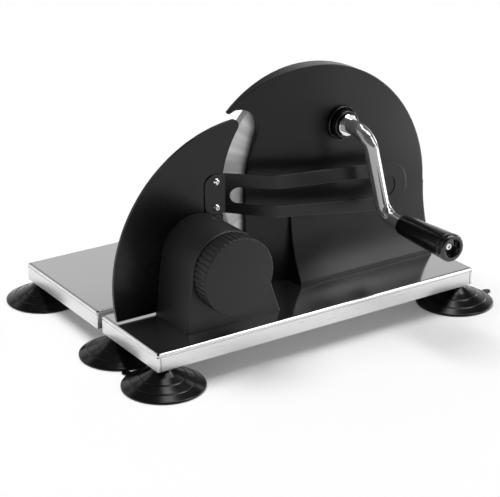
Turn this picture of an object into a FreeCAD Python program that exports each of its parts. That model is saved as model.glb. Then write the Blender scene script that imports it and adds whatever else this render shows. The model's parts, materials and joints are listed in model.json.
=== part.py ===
"""Hand cranked bread slicer, modelled as a parametric document, in millimetres.

The machine stands on a table at z = 0.  Before the final shift to the middle of its own box, lengths are
counted from the base's left end (x), from its front edge (y, growing to the rear) and from the table (z).
"""
import FreeCAD, Part
import math
import os
import Sketcher
from types import SimpleNamespace
from FreeCAD import Placement, Rotation, Vector

SIZES = {
    # the two folded trays of the base
    "base_long": 300.0,
    "front_tray_deep": 84.6,
    "rear_tray_deep": 120.0,
    "tray_gap": 7.2,
    "deck_high": 31.0,
    "rim_deep": 14.5,
    "sheet": 1.2,
    "bend_radius": 1.5,
    "corner_hole": 1.1,
    "corner_slit": 0.35,
    # suction feet
    "foot_radius": 32.0,
    "foot_inset_x": 10.0,
    "foot_inset_y": 9.5,
    "foot_lip": 1.2,
    "foot_cone_high": 13.0,
    "foot_neck_radius": 7.8,
    "foot_hollow_radius": 25.0,
    "foot_hollow_deep": 4.5,
    "foot_tab_long": 6.5,
    "foot_tab_wide": 6.0,
    "stud_radius": 2.5,
    "stud_long": 14.0,
    # table hinges
    "hinge_drop": 3.0,
    "hinge_long": 42.0,
    "hinge_leaf": 1.0,
    "hinge_leaf_high": 12.0,
    "hinge_inset": 70.0,
    "knuckle_radius": 2.2,
    "hinge_pin_radius": 1.0,
    "rivet_radius": 1.5,
    # blade and its drive
    "blade_radius": 84.5,
    "blade_thick": 1.2,
    "blade_hover": 2.0,
    "blade_past_hood": 5.7,
    "cut_inset": 9.6,
    "module": 1.5,
    "crank_teeth": 40,
    "pinion_teeth": 20,
    "gear_wide": 4.2,
    "backlash": 0.3,
    "drive_lean": 58.4,
    "axle_radius": 5.0,
    "bush_wall": 1.5,
    "hub_radius": 16.0,
    "hub_screw_circle": 11.0,
    # gear cover behind which the blade turns
    "cover_deep": 14.0,
    "cover_end_inset": 5.7,
    "hood_over": 4.2,
    "hood_left_radius": 101.7,
    "hood_right_radius": 116.0,
    "cover_left_inset": 23.0,
    "brow_in": 3.8,
    "brow_over": 19.7,
    "notch_radius": 16.3,
    "notch_inset": 17.7,
    "notch_drop": 15.49,
    "hook_inset": 8.5,
    "hook_tip": 1.6,
    "ramp_past_blade": 21.0,
    "ramp_tip_deep": 2.0,
    "cover_wall": 2.2,
    "gear_air": 1.0,
    "blade_air": 0.7,
    "blade_room_gap": 1.2,
    "foot_reach": 15.0,
    "foot_rise": 57.0,
    "foot_left_reach": 24.0,
    "foot_lip_high": 3.0,
    "cover_edge": 1.0,
    "back_plate_thick": 4.0,
    "cover_screw_rear_x": 27.5,
    "cover_screw_rear_y": 7.3,
    "cover_screw_front_y": 3.0,
    "cover_screw_first_x": 16.0,
    "cover_screw_second_x": 75.0,
    "cover_screw_last_x": 10.0,
    "cover_screw_bite": 8.0,
    # crank
    "crank_radius": 6.0,
    "crank_throw": 74.0,
    "crank_tilt": 14.3,
    "crank_stand_off": 35.3,
    "crank_bend": 14.0,
    "grip_gap": 23.8,
    "grip_long": 61.2,
    "grip_near_radius": 8.0,
    "grip_far_radius": 11.0,
    "grip_recess_deep": 8.0,
    "grip_recess_radius": 7.2,
    "spindle_radius": 4.0,
    "collar_radius": 14.0,
    "collar_step_radius": 11.0,
    "collar_out": 8.5,
    "washer_radius": 8.8,
    "washer_thick": 1.6,
    "shaft_radius": 5.0,
    "shaft_nose_radius": 4.0,
    "grip_tap_deep": 12.0,
    "grip_screw_long": 9.0,
    # thickness stop
    "slice_setting": 9.5,
    "plate_thick": 2.5,
    "plate_hover": 1.7,
    "plate_overhang": 0.4,
    "plate_curve_past_edge": 20.9,
    "plate_curve_up": 25.4,
    "plate_edge_inset": 1.6,
    "plate_blade_gap": 3.5,
    "plate_tip_radius": 5.0,
    # slotted slice guide
    "guide_sheet": 1.2,
    "guide_tab_long": 16.6,
    "guide_tab_bottom": 70.5,
    "guide_tab_top": 102.5,
    "guide_tab_corner": 8.0,
    "guide_reach": 20.0,
    "guide_lean": 30.0,
    "guide_fold": 3.0,
    "guide_bend": 12.0,
    "guide_recess_gap": 1.0,
    "guide_past_blade": 57.0,
    "guide_end_up": 70.0,
    "guide_end_radius": 20.5,
    "slot_end_radius": 9.0,
    "slot_past_edge": 11.4,
    "slot_start_up": 84.2,
    "slot_start_radius": 6.5,
    "guide_screw_inset": 6.0,
    "guide_screw_apart": 21.1,
    "guide_screw_head": 2.9,
    # knob housing and thickness knob
    "tunnel_reach": 58.0,
    "tunnel_gap": 0.6,
    "tunnel_left_reach": 36.8,
    "tunnel_right_reach": 48.0,
    "tunnel_arch_radius": 31.0,
    "tunnel_wall": 2.5,
    "tunnel_front_wall": 3.0,
    "tunnel_edge": 1.2,
    "knob_inset": 25.6,
    "knob_up": 44.5,
    "knob_radius": 30.5,
    "knob_deep": 15.0,
    "knob_stand_off": 1.0,
    "knob_ribs": 44,
    "knob_rib_radius": 1.1,
    "knob_wall": 2.4,
    "knob_boss_radius": 8.0,
    "journal_radius": 4.0,
    "screw_radius": 5.0,
    "screw_long": 37.0,
    "carriage_half_wide": 23.0,
    "carriage_half_high": 13.5,
    "carriage_long": 20.0,
    "rod_radius": 3.0,
    "rod_apart": 34.0,
    "rod_long": 39.0,
    "rod_boss_long": 6.0,
    "plate_screw_x": 10.0,
    "plate_screw_up": 9.0,
    "carriage_screw_long": 9.0,
    # screws, posts and fits
    "small_screw_radius": 1.5,
    "small_head_radius": 2.9,
    "small_head_thick": 1.8,
    "low_head_thick": 1.2,
    "post_radius": 5.0,
    "post_bite": 1.0,
    "post_high": 7.0,
    "screw_spare": 1.0,
    "running": 0.05,
    "clearance": 0.3,
    "gap": 0.4,
}
FULL_TURN = 360.0

doc = FreeCAD.newDocument("bread_slicer")
sheet = doc.addObject("Spreadsheet::Sheet", "sizes")
for row, (alias, value) in enumerate(SIZES.items(), 1):
    sheet.set(f"A{row}", alias)
    sheet.set(f"B{row}", str(value))
    sheet.setAlias(f"B{row}", alias)
doc.recompute()


# ---------------------------------------------------------------- sizes that remember where they come from
def number(item):
    return item.value if isinstance(item, Size) else float(item)


def words(item):
    return item.text if isinstance(item, Size) else repr(float(item))


class Size:
    """A number together with the sheet expression that gives it."""

    def __init__(self, value, text):
        self.value = float(value)
        self.text = text

    def __add__(self, other):
        return Size(self.value + number(other), f"({self.text} + {words(other)})")

    def __radd__(self, other):
        return Size(other + self.value, f"({words(other)} + {self.text})")

    def __sub__(self, other):
        return Size(self.value - number(other), f"({self.text} - {words(other)})")

    def __rsub__(self, other):
        return Size(other - self.value, f"({words(other)} - {self.text})")

    def __mul__(self, other):
        return Size(self.value * number(other), f"({self.text} * {words(other)})")

    def __rmul__(self, other):
        return Size(other * self.value, f"({words(other)} * {self.text})")

    def __truediv__(self, other):
        return Size(self.value / number(other), f"({self.text} / {words(other)})")

    def __neg__(self):
        return Size(-self.value, f"(0.0 - {self.text})")


def root(size):
    return Size(math.sqrt(size.value), f"sqrt({size.text})")


def sine(angle):
    return Size(math.sin(math.radians(angle.value)), f"sin({angle.text})")


def cosine(angle):
    return Size(math.cos(math.radians(angle.value)), f"cos({angle.text})")


def half_chord(radius, offset):
    """Half of the chord that lies offset away from a circle's centre."""
    return root(radius * radius - offset * offset)


def crossing(ax, ay, ar, bx, by, br, side):
    """Where two circles cross, on the left (1) or right (-1) of the line from a to b."""
    dx, dy = bx - ax, by - ay
    apart = root(dx * dx + dy * dy)
    along = (ar * ar - br * br + apart * apart) / (2 * apart)
    off = half_chord(ar, along) * side
    return ax + (dx * along - dy * off) / apart, ay + (dy * along + dx * off) / apart


def belt(ax, ay, ar, bx, by, br, side):
    """The touching points of the straight line round two circles, left (1) or right (-1) of a to b."""
    dx, dy = bx - ax, by - ay
    apart = root(dx * dx + dy * dy)
    lean = (ar - br) / apart
    rise = root(1 - lean * lean) * side
    nx = (dx * lean - dy * rise) / apart
    ny = (dy * lean + dx * rise) / apart
    return (ax + nx * ar, ay + ny * ar), (bx + nx * br, by + ny * br)


s = SimpleNamespace(**{alias: Size(float(sheet.get(alias)), f"sizes.{alias}") for alias in SIZES})

# ---------------------------------------------------------------- places that several pieces share
CRANK_TEETH = int(sheet.get("crank_teeth"))
PINION_TEETH = int(sheet.get("pinion_teeth"))
cover_right_x = s.base_long - s.cover_end_inset
hood_x = cover_right_x - s.hood_right_radius
blade_x = hood_x + s.blade_past_hood
blade_up = s.blade_radius + s.blade_hover
cut_y = s.front_tray_deep - s.cut_inset
hood_high = blade_up + s.blade_radius + s.hood_over
hood_left_up = hood_high - s.hood_left_radius
hood_right_up = hood_high - s.hood_right_radius
cover_left_x = blade_x - s.blade_radius + s.cover_left_inset
hook_x = blade_x - s.blade_radius + s.hook_inset
hook_up = hood_left_up + half_chord(s.hood_left_radius, hood_x - hook_x)
notch_x = blade_x - s.blade_radius + s.notch_inset
notch_up = hook_up - s.notch_drop
ramp_start_x = blade_x + s.ramp_past_blade
foot_left_x = blade_x - s.foot_left_reach
plate_room_deep = s.back_plate_thick + s.gap
gear_room_deep = plate_room_deep + s.gear_wide + s.gear_air
blade_room_deep = s.blade_thick + s.blade_air
blade_recess = s.blade_thick + 2 * s.gap
gear_apart = s.module * (s.crank_teeth + s.pinion_teeth) / 2
crank_x = blade_x + gear_apart * cosine(s.drive_lean)
crank_up = blade_up + gear_apart * sine(s.drive_lean)
grip_x = crank_x + s.crank_throw * sine(s.crank_tilt)
grip_up = crank_up - s.crank_throw * cosine(s.crank_tilt)
base_deep = s.front_tray_deep + s.tray_gap + s.rear_tray_deep
rear_tray_y = s.front_tray_deep + s.tray_gap
hinge_y = s.front_tray_deep + s.tray_gap / 2
hinge_z = s.deck_high - s.hinge_drop
under_deck = s.deck_high - s.sheet
cover_front_y = cut_y - s.cover_deep
arm_y = cover_front_y - s.crank_stand_off
grip_start_y = arm_y - s.grip_gap
grip_end_y = grip_start_y - s.grip_long
plate_rear_y = cut_y - s.slice_setting
plate_front_y = plate_rear_y - s.plate_thick
plate_edge_x = blade_x - s.blade_radius - s.plate_blade_gap + s.plate_edge_inset
plate_curve_x = plate_edge_x + s.plate_curve_past_edge
plate_curve_radius = plate_curve_x + s.plate_overhang
guide_end_x = blade_x + s.guide_past_blade
slot_start_x = plate_edge_x + s.slot_past_edge
knob_x = plate_edge_x - s.knob_inset
tunnel_left_x = knob_x - s.tunnel_left_reach
tunnel_right_x = knob_x + s.tunnel_right_reach
tunnel_front_y = cut_y - s.tunnel_reach
tunnel_rear_y = plate_front_y - s.tunnel_gap
knob_rear_y = tunnel_front_y - s.knob_stand_off
knob_front_y = knob_rear_y - s.knob_deep
tab_reach = s.foot_radius + s.foot_tab_long
origin_x = (s.base_long - s.foot_inset_x + tab_reach + s.foot_inset_x - s.foot_radius) / 2
origin_y = (base_deep - s.foot_inset_y + s.foot_radius + grip_end_y) / 2


# ---------------------------------------------------------------- document helpers
def bind(thing, prop, size):
    if isinstance(size, Size):
        thing.setExpression(prop, size.text)
    else:
        setattr(thing, prop, size)


def place(piece, x, y, z, axis=None, angle=None):
    """Put a piece at a point of the machine, turned about an axis through that point."""
    if axis is not None:
        piece.Placement = Placement(Vector(), Rotation(axis, number(angle)))
        if isinstance(angle, Size):
            piece.setExpression("Placement.Rotation.Angle", angle.text)
    for name, size in (("x", x - origin_x), ("y", y - origin_y), ("z", 0.0 + z)):
        piece.setExpression(f"Placement.Base.{name}", words(size))


def new_body(label, x, y, z, axis=None, angle=None):
    body = doc.addObject("PartDesign::Body", label)
    body.Label = label
    place(body, x, y, z, axis, angle)
    return body


def new_sketch(body, role, lift=None):
    """A sketch on one of the body's own origin planes, or lifted off it along the plane's normal."""
    sketch = body.newObject("Sketcher::SketchObject", f"{body.Label}_sketch")
    plane = next(item for item in body.Origin.OriginFeatures if item.Role == role)
    sketch.AttachmentSupport = [(plane, "")]
    sketch.MapMode = "FlatFace"
    if lift is not None:
        sketch.setExpression("AttachmentOffset.Base.z", words(lift))
    return sketch


def dimension(sketch, kind, where, size):
    index = sketch.addConstraint(Sketcher.Constraint(kind, *where, number(size)))
    if isinstance(size, Size):
        sketch.setExpression(f"Constraints[{index}]", size.text)


def arc_between(start, end, radius):
    """An arc from start to end, turning left for a positive radius, and whether its ends are swapped."""
    chord = end - start
    side = Vector(-chord.y, chord.x, 0).normalize()
    if radius < 0:
        side = side * -1
    rise = math.sqrt(max(radius * radius - chord.Length ** 2 / 4, 0.0))
    centre = (start + end) * 0.5 + side * rise
    first, last = (start, end) if radius > 0 else (end, start)
    angles = [math.atan2(point.y - centre.y, point.x - centre.x) for point in (first, last)]
    circle = Part.Circle(centre, Vector(0, 0, 1), abs(radius))
    return Part.ArcOfCircle(circle, angles[0], angles[1]), radius < 0


def outline(sketch, corners):
    """Close an outline.  A corner is (x, y), or (x, y, radius) where an arc leaves it: a positive radius
    turns left and a negative one right."""
    ends = []
    for index, corner in enumerate(corners):
        after = corners[(index + 1) % len(corners)]
        start = Vector(number(corner[0]), number(corner[1]), 0)
        end = Vector(number(after[0]), number(after[1]), 0)
        swapped = False
        if len(corner) == 3:
            edge, swapped = arc_between(start, end, number(corner[2]))
        else:
            edge = Part.LineSegment(start, end)
        geometry = sketch.addGeometry(edge)
        ends.append((geometry, 2, 1) if swapped else (geometry, 1, 2))
    for index, corner in enumerate(corners):
        geometry, first, last = ends[index]
        following = ends[(index + 1) % len(corners)]
        sketch.addConstraint(Sketcher.Constraint("Coincident", geometry, last, following[0], following[1]))
        dimension(sketch, "DistanceX", (geometry, first), corner[0])
        dimension(sketch, "DistanceY", (geometry, first), corner[1])
        if len(corner) == 3:
            radius = corner[2] if number(corner[2]) > 0 else -corner[2]
            dimension(sketch, "Radius", (geometry,), radius)
    return sketch


def circle(sketch, x, y, radius):
    geometry = sketch.addGeometry(Part.Circle(Vector(number(x), number(y), 0), Vector(0, 0, 1), number(radius)))
    dimension(sketch, "DistanceX", (geometry, 3), x)
    dimension(sketch, "DistanceY", (geometry, 3), y)
    dimension(sketch, "Radius", (geometry,), radius)
    return sketch


def rectangle(sketch, left, bottom, right, top):
    return outline(sketch, [(left, bottom), (right, bottom), (right, top), (left, top)])


def feature(kind, body, sketch, prop, size, backwards=False):
    made = body.newObject(f"PartDesign::{kind}", f"{body.Label}_{kind.lower()}")
    made.Profile = sketch
    bind(made, prop, size)
    made.Reversed = backwards
    return made


def pad(body, sketch, length, backwards=False):
    return feature("Pad", body, sketch, "Length", length, backwards)


def pocket(body, sketch, depth, backwards=False):
    return feature("Pocket", body, sketch, "Length", depth, backwards)


def turn(body, sketch, axis="V_Axis", kind="Revolution"):
    made = body.newObject(f"PartDesign::{kind}", f"{body.Label}_{kind.lower()}")
    made.Profile = sketch
    made.ReferenceAxis = (sketch, [axis])
    made.Angle = FULL_TURN
    return made


def ring_of(body, feature_made, count, axis_role):
    """Repeat a feature evenly round one of the body's own axes."""
    axis = next(item for item in body.Origin.OriginFeatures if item.Role == axis_role)
    made = body.newObject("PartDesign::PolarPattern", f"{body.Label}_pattern")
    made.Originals = [feature_made]
    made.Axis = (axis, [""])
    made.Angle = FULL_TURN
    made.Occurrences = count
    body.Tip = made
    return made


def round_edges(body, radius, wanted):
    """Round the edges of the body that the test picks."""
    doc.recompute()
    base = body.Tip
    names = [f"Edge{index}" for index, edge in enumerate(base.Shape.Edges, 1) if wanted(edge)]
    made = body.newObject("PartDesign::Fillet", f"{body.Label}_fillet")
    made.Base = (base, names)
    bind(made, "Radius", radius)
    return made


nodes = []


def keep(piece):
    nodes.append(piece)
    return piece


def turned(label, x, y, z, profile, role="XY_Plane", axis="V_Axis"):
    """A lathe-turned piece.  The profile is (radius, length) pairs, along +Y unless told otherwise."""
    body = new_body(label, x, y, z)
    turn(body, outline(new_sketch(body, role), profile), axis)
    return body


def rod_profile(radius, start, end):
    return [(0.0, start), (radius, start), (radius, end), (0.0, end)]


def ring_profile(inner, outer, start, end):
    return [(inner, start), (outer, start), (outer, end), (inner, end)]


def screw_profile(shank, long, head, thick):
    """Head first at length 0, shank running on from it."""
    return [(0.0, 0.0), (head, 0.0), (head, thick), (shank, thick), (shank, thick + long), (0.0, thick + long)]


def group(label, pieces):
    """Identical small parts that share one node as separate solids."""
    made = doc.addObject("Part::Compound", label)
    made.Label = label
    made.Links = pieces
    return keep(made)


# ---------------------------------------------------------------- base
def tray(label, start_y, deep, deck_holes, hinge_side):
    """An inverted pan folded from sheet: deck and four rims, slit and drilled at the bends' corners.  The
    hinge side is 1 for rivet holes in the rear rim and -1 for the front rim."""
    body = new_body(label, 0.0 * s.base_long, start_y, s.deck_high)
    pad(body, rectangle(new_sketch(body, "XY_Plane"), 0.0, 0.0, s.base_long, deep), s.rim_deep, True)
    round_edges(body, s.bend_radius, lambda edge: all(abs(v.Point.z) < 1e-6 for v in edge.Vertexes))
    inside = rectangle(new_sketch(body, "XY_Plane", -s.rim_deep), s.sheet, s.sheet,
                       s.base_long - s.sheet, deep - s.sheet)
    pocket(body, inside, s.rim_deep - s.sheet, True)
    for x in (s.sheet, s.base_long - s.sheet):
        for y in (s.sheet, deep - s.sheet):
            pocket(body, circle(new_sketch(body, "XY_Plane", s.sheet), x, y, s.corner_hole), 3 * s.sheet)
    for left in (s.sheet, s.base_long - s.sheet - s.corner_slit):
        for low in (-s.sheet, deep - s.sheet):
            slit = rectangle(new_sketch(body, "XY_Plane", -s.rim_deep - s.sheet),
                             left, low, left + s.corner_slit, low + 2 * s.sheet)
            pocket(body, slit, s.rim_deep, True)
    for x, y in deck_holes:
        hole = circle(new_sketch(body, "XY_Plane", s.sheet), x, y, s.small_screw_radius + s.clearance / 2)
        pocket(body, hole, 3 * s.sheet)
    outside = -(deep + s.gap) if hinge_side > 0 else s.gap
    for x in rivet_x:
        hole = circle(new_sketch(body, "XZ_Plane", outside), x, rivet_z - s.deck_high,
                      s.rivet_radius + s.running)
        pocket(body, hole, s.sheet + 2 * s.gap, hinge_side > 0)
    return keep(body)


hinge_start = {"left": s.hinge_inset, "right": s.base_long - s.hinge_inset - s.hinge_long}
rivet_x = [start + s.hinge_long * share for start in hinge_start.values() for share in (0.2, 0.8)]
rivet_z = hinge_z - s.hinge_leaf_high / 2
cover_screw_spots = [
    (cover_left_x + s.cover_screw_rear_x, cut_y - s.cover_screw_rear_y),
    (foot_left_x + s.cover_screw_first_x, cover_front_y - s.cover_screw_front_y),
    (foot_left_x + s.cover_screw_second_x, cover_front_y - s.cover_screw_front_y),
    (cover_right_x - s.cover_screw_last_x, cover_front_y - s.cover_screw_front_y),
]
tunnel_post_x = (tunnel_left_x + s.tunnel_wall + s.post_radius - s.post_bite,
                 tunnel_right_x - s.tunnel_wall - s.post_radius - s.post_bite / 2)
tunnel_post_y = (tunnel_front_y + s.tunnel_front_wall + s.post_radius - s.post_bite,
                 tunnel_rear_y - s.post_radius - s.tunnel_wall)
tunnel_screw_spots = [(x, y) for x in tunnel_post_x for y in tunnel_post_y]
tray("front_tray", 0.0 * cut_y, s.front_tray_deep, cover_screw_spots + tunnel_screw_spots, 1)
tray("bread_table", rear_tray_y, s.rear_tray_deep, [], -1)

# ---------------------------------------------------------------- suction feet
foot_y = {"front": s.foot_inset_y, "middle": s.front_tray_deep - s.foot_inset_y,
          "rear": base_deep - s.foot_inset_y}
foot_x = {"left": s.foot_inset_x, "right": s.base_long - s.foot_inset_x}
TAB_TURN = {("front", "left"): 113.0}


def suction_foot(label, x, y, tab_turn):
    """Soft cup with two shallow rings, a neck up to the tray and a tab that lets the air in."""
    body = new_body(label, x, y, 0.0, Vector(0, 0, 1), tab_turn)
    rise = s.foot_cone_high - s.foot_lip
    step = s.gap
    profile = [(0.0, s.foot_hollow_deep)]
    profile += [(s.foot_neck_radius, s.foot_hollow_deep), (s.foot_hollow_radius, 0.0), (s.foot_radius, 0.0)]
    profile += [(s.foot_radius, s.foot_lip)]
    for share in (0.78, 0.55):
        ring = s.foot_radius * share
        up = s.foot_lip + rise * (1 - share) * 1.35
        profile += [(ring + step, up), (ring, up + step)]
    profile += [(s.foot_neck_radius + 2 * s.foot_lip, s.foot_cone_high)]
    profile += [(s.foot_neck_radius, s.foot_cone_high + 2 * s.foot_lip), (s.foot_neck_radius, under_deck)]
    profile += [(s.stud_radius + s.running, under_deck)]
    bore_low = under_deck - s.stud_long - s.gap
    profile += [(s.stud_radius + s.running, bore_low), (0.0, bore_low)]
    turn(body, outline(new_sketch(body, "XZ_Plane"), profile))
    half = s.foot_tab_wide / 2
    tab = outline(new_sketch(body, "XY_Plane"), [
        (s.foot_radius - s.foot_tab_wide, -half), (tab_reach - half, -half, half),
        (tab_reach, 0.0, half), (tab_reach - half, half), (s.foot_radius - s.foot_tab_wide, half)])
    pad(body, tab, s.foot_lip)
    return keep(body)


studs = {"base": [], "table": []}
for row, y in foot_y.items():
    for side, x in foot_x.items():
        suction_foot(f"suction_foot_{row}_{side}", x, y, TAB_TURN.get((row, side), 0.0))
        stud = turned(f"stud_{row}_{side}", x, y, under_deck,
                      rod_profile(s.stud_radius, -s.stud_long, 0.0), "XZ_Plane")
        studs["table" if row == "rear" else "base"].append(stud)
group("foot_studs_base", studs["base"])
group("foot_studs_table", studs["table"])

# ---------------------------------------------------------------- table hinges
knuckle_long = s.hinge_long / 3
half_gap = s.tray_gap / 2
rivets = {"base": [], "table": []}


def hinge_leaf(label, start_x, side, knuckles):
    """A leaf against a rim, with its knuckles on the hinge line.  Side is -1 at the front, 1 at the rear."""
    body = new_body(label, start_x, hinge_y, hinge_z)
    outer, inner = half_gap * side, (half_gap - s.hinge_leaf) * side
    low, high = (outer, inner) if side < 0 else (inner, outer)
    pad(body, rectangle(new_sketch(body, "YZ_Plane"), low, -s.hinge_leaf_high + s.knuckle_radius / 2,
                        high, s.knuckle_radius / 2), s.hinge_long)
    reach = (s.hinge_pin_radius + s.gap) * side
    low, high = (outer, reach) if side < 0 else (reach, outer)
    for first in knuckles:
        lift = knuckle_long * first + s.gap / 4
        long = knuckle_long - s.gap / 2
        pad(body, rectangle(new_sketch(body, "YZ_Plane", lift), low, -s.knuckle_radius / 2,
                            high, s.knuckle_radius / 2), long)
        pad(body, circle(new_sketch(body, "YZ_Plane", lift), 0.0, 0.0, s.knuckle_radius), long)
    bore = circle(new_sketch(body, "YZ_Plane", -s.gap), 0.0, 0.0, s.hinge_pin_radius + s.running)
    pocket(body, bore, s.hinge_long + 2 * s.gap, True)
    for share in (0.2, 0.8):
        hole = circle(new_sketch(body, "XZ_Plane", -(half_gap + s.gap) * side), s.hinge_long * share,
                      rivet_z - hinge_z, s.rivet_radius + s.running)
        pocket(body, hole, s.hinge_leaf + 2 * s.gap, side > 0)
    return keep(body)


for side, start_x in hinge_start.items():
    hinge_leaf(f"hinge_leaf_base_{side}", start_x, -1, (0, 2))
    hinge_leaf(f"hinge_leaf_table_{side}", start_x, 1, (1,))
    keep(turned(f"hinge_pin_{side}", start_x, hinge_y, hinge_z,
                [(0.0, 0.0), (s.hinge_long, 0.0), (s.hinge_long, s.hinge_pin_radius),
                 (0.0, s.hinge_pin_radius)], "XY_Plane", "H_Axis"))
for count, x in enumerate(rivet_x, 1):
    for owner, toward in (("base", -1), ("table", 1)):
        start, end = (-s.sheet, s.hinge_leaf) if toward < 0 else (-s.hinge_leaf, s.sheet)
        rivets[owner].append(turned(f"rivet_{owner}_{count}", x, hinge_y + half_gap * toward, rivet_z,
                                    rod_profile(s.rivet_radius, start, end)))
group("hinge_rivets_base", rivets["base"])
group("hinge_rivets_table", rivets["table"])


# ---------------------------------------------------------------- gear cover with its hook and foot
def inner_hood(inset, left_x):
    """The hood's outline moved in by a wall, cut off straight on the left."""
    left_radius = s.hood_left_radius - inset
    right_radius = s.hood_right_radius - inset
    return [
        (left_x, inset), (cover_right_x - inset, inset), (cover_right_x - inset, hood_right_up, right_radius),
        (hood_x, hood_high - inset, left_radius),
        (left_x, hood_left_up + half_chord(left_radius, hood_x - left_x)),
    ]


plate_room_x = notch_x + s.notch_radius + s.cover_wall
gear_room_x = blade_x - s.module * (s.pinion_teeth / 2 + 1) - s.gap
post_in = s.post_radius - s.post_bite
post_low = s.cover_wall + post_in
post_circle = s.hood_right_radius - post_low
cover_posts = [
    (gear_room_x + post_in, post_low),
    (cover_right_x - post_low, post_low),
    (hood_x + 0.8 * post_circle, hood_right_up + 0.6 * post_circle),
    (gear_room_x + post_in, hood_high - 3 * post_in),
]


def gear_cover():
    """Moulded cover: the hood's outline, thinned to a ramp on the left and flared to a foot in front."""
    body = new_body("gear_cover", 0.0 * cut_y, cut_y, s.deck_high)
    low_x, low_up = cover_left_x + s.brow_in, blade_up + s.brow_over
    notch_low = (notch_x + 0.9 * s.notch_radius, notch_up - 0.436 * s.notch_radius)
    notch_top = (notch_x + 0.1 * s.notch_radius, notch_up + 0.995 * s.notch_radius)
    face = [
        (cover_left_x, 0.0), (cover_right_x, 0.0), (cover_right_x, hood_right_up, s.hood_right_radius),
        (hood_x, hood_high, s.hood_left_radius),
        (hook_x, hook_up, s.hook_tip),
        (hook_x + 1.2 * s.hook_tip, hook_up - 1.1 * s.hook_tip),
        (hook_x + 4 * s.hook_tip, notch_top[1]),
        (notch_top[0], notch_top[1], -s.notch_radius),
        notch_low, (low_x, low_up), (cover_left_x, blade_up),
    ]
    pad(body, outline(new_sketch(body, "XZ_Plane"), face), s.cover_deep)
    round_edges(body, s.cover_edge, on_hood_rim)
    rise = s.cover_deep - s.ramp_tip_deep
    run = ramp_start_x - hook_x
    ramp_radius = (run * run + rise * rise) / (2 * rise)
    beyond = s.cover_deep + s.gap
    ramp = outline(new_sketch(body, "XY_Plane", -s.gap), [
        (ramp_start_x, -s.cover_deep, -ramp_radius), (hook_x, -s.ramp_tip_deep),
        (hook_x - 2 * s.hook_tip, -s.ramp_tip_deep), (hook_x - 2 * s.hook_tip, -beyond),
        (ramp_start_x, -beyond)])
    pocket(body, ramp, hood_high + 2 * s.gap, True)
    flare_radius = (s.foot_reach * s.foot_reach + s.foot_rise * s.foot_rise) / (2 * s.foot_reach)
    toe = s.cover_deep + s.foot_reach
    flare_top = s.foot_lip_high + s.foot_rise
    flare = outline(new_sketch(body, "YZ_Plane", foot_left_x), [
        (-s.cover_deep + s.cover_wall, 0.0), (-s.cover_deep + s.cover_wall, flare_top),
        (-s.cover_deep, flare_top, -flare_radius), (-toe, s.foot_lip_high), (-toe, 0.0)])
    pad(body, flare, cover_right_x - foot_left_x)
    crank_hole = circle(new_sketch(body, "XZ_Plane", s.cover_deep + s.gap), crank_x, crank_up,
                        s.shaft_radius + s.bush_wall + s.clearance / 2)
    pocket(body, crank_hole, s.cover_deep + 2 * s.gap)
    pocket(body, outline(new_sketch(body, "XZ_Plane"), inner_hood(s.cover_wall, gear_room_x)),
           gear_room_deep, True)
    pocket(body, outline(new_sketch(body, "XZ_Plane"), inner_hood(s.cover_wall, plate_room_x)),
           plate_room_deep, True)
    blade_room = circle(new_sketch(body, "XZ_Plane"), blade_x, blade_up, s.blade_radius + s.blade_room_gap)
    pocket(body, blade_room, blade_room_deep, True)
    for x, up in cover_posts:
        post = circle(new_sketch(body, "XZ_Plane", plate_room_deep + s.running), x, up, s.post_radius)
        pad(body, post, gear_room_deep - plate_room_deep)
        hole = circle(new_sketch(body, "XZ_Plane", plate_room_deep), x, up,
                      s.small_screw_radius + s.clearance / 2)
        pocket(body, hole, gear_room_deep - plate_room_deep, True)
    socket = circle(new_sketch(body, "XZ_Plane", gear_room_deep - s.gap), blade_x, blade_up,
                    s.axle_radius + s.running)
    pocket(body, socket, s.cover_wall + s.gap, True)
    for x, y in cover_screw_spots:
        hole = circle(new_sketch(body, "XY_Plane", -s.gap), x, y - cut_y, s.small_screw_radius + s.clearance / 2)
        pocket(body, hole, s.cover_screw_bite + s.gap, True)
    return keep(body)


def on_hood_rim(edge):
    """Whether an edge of the cover runs up its right side or over its top, round the front face."""
    box = edge.BoundBox
    middle = edge.valueAt((edge.FirstParameter + edge.LastParameter) / 2)
    return abs(box.YMax + s.cover_deep.value) < 1e-4 and middle.x > hood_x.value and middle.z > 1


gear_cover()


def back_plate():
    """Plate that closes the gear room and lies flush round the blade on the bread's side."""
    body = new_body("back_plate", 0.0 * cut_y, cut_y - plate_room_deep + s.back_plate_thick, s.deck_high)
    inset = s.cover_wall + s.clearance
    pad(body, outline(new_sketch(body, "XZ_Plane"), inner_hood(inset, plate_room_x + s.clearance)),
        s.back_plate_thick)
    recess = circle(new_sketch(body, "XZ_Plane"), blade_x, blade_up, s.blade_radius + s.blade_room_gap)
    pocket(body, recess, blade_recess, True)
    hub_hole = circle(new_sketch(body, "XZ_Plane"), blade_x, blade_up,
                      s.module * (s.pinion_teeth / 2 + 1) + 2 * s.gap)
    pocket(body, hub_hole, s.back_plate_thick + s.gap, True)
    nose = circle(new_sketch(body, "XZ_Plane"), crank_x, crank_up, s.shaft_nose_radius + s.running)
    pocket(body, nose, s.back_plate_thick + s.gap, True)
    for x, up in cover_posts:
        hole = circle(new_sketch(body, "XZ_Plane"), x, up, s.small_screw_radius + s.clearance / 2)
        pocket(body, hole, s.back_plate_thick + s.gap, True)
        head = circle(new_sketch(body, "XZ_Plane"), x, up, s.small_head_radius + s.clearance / 2)
        pocket(body, head, blade_recess + s.gap, True)
    return keep(body)


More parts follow.
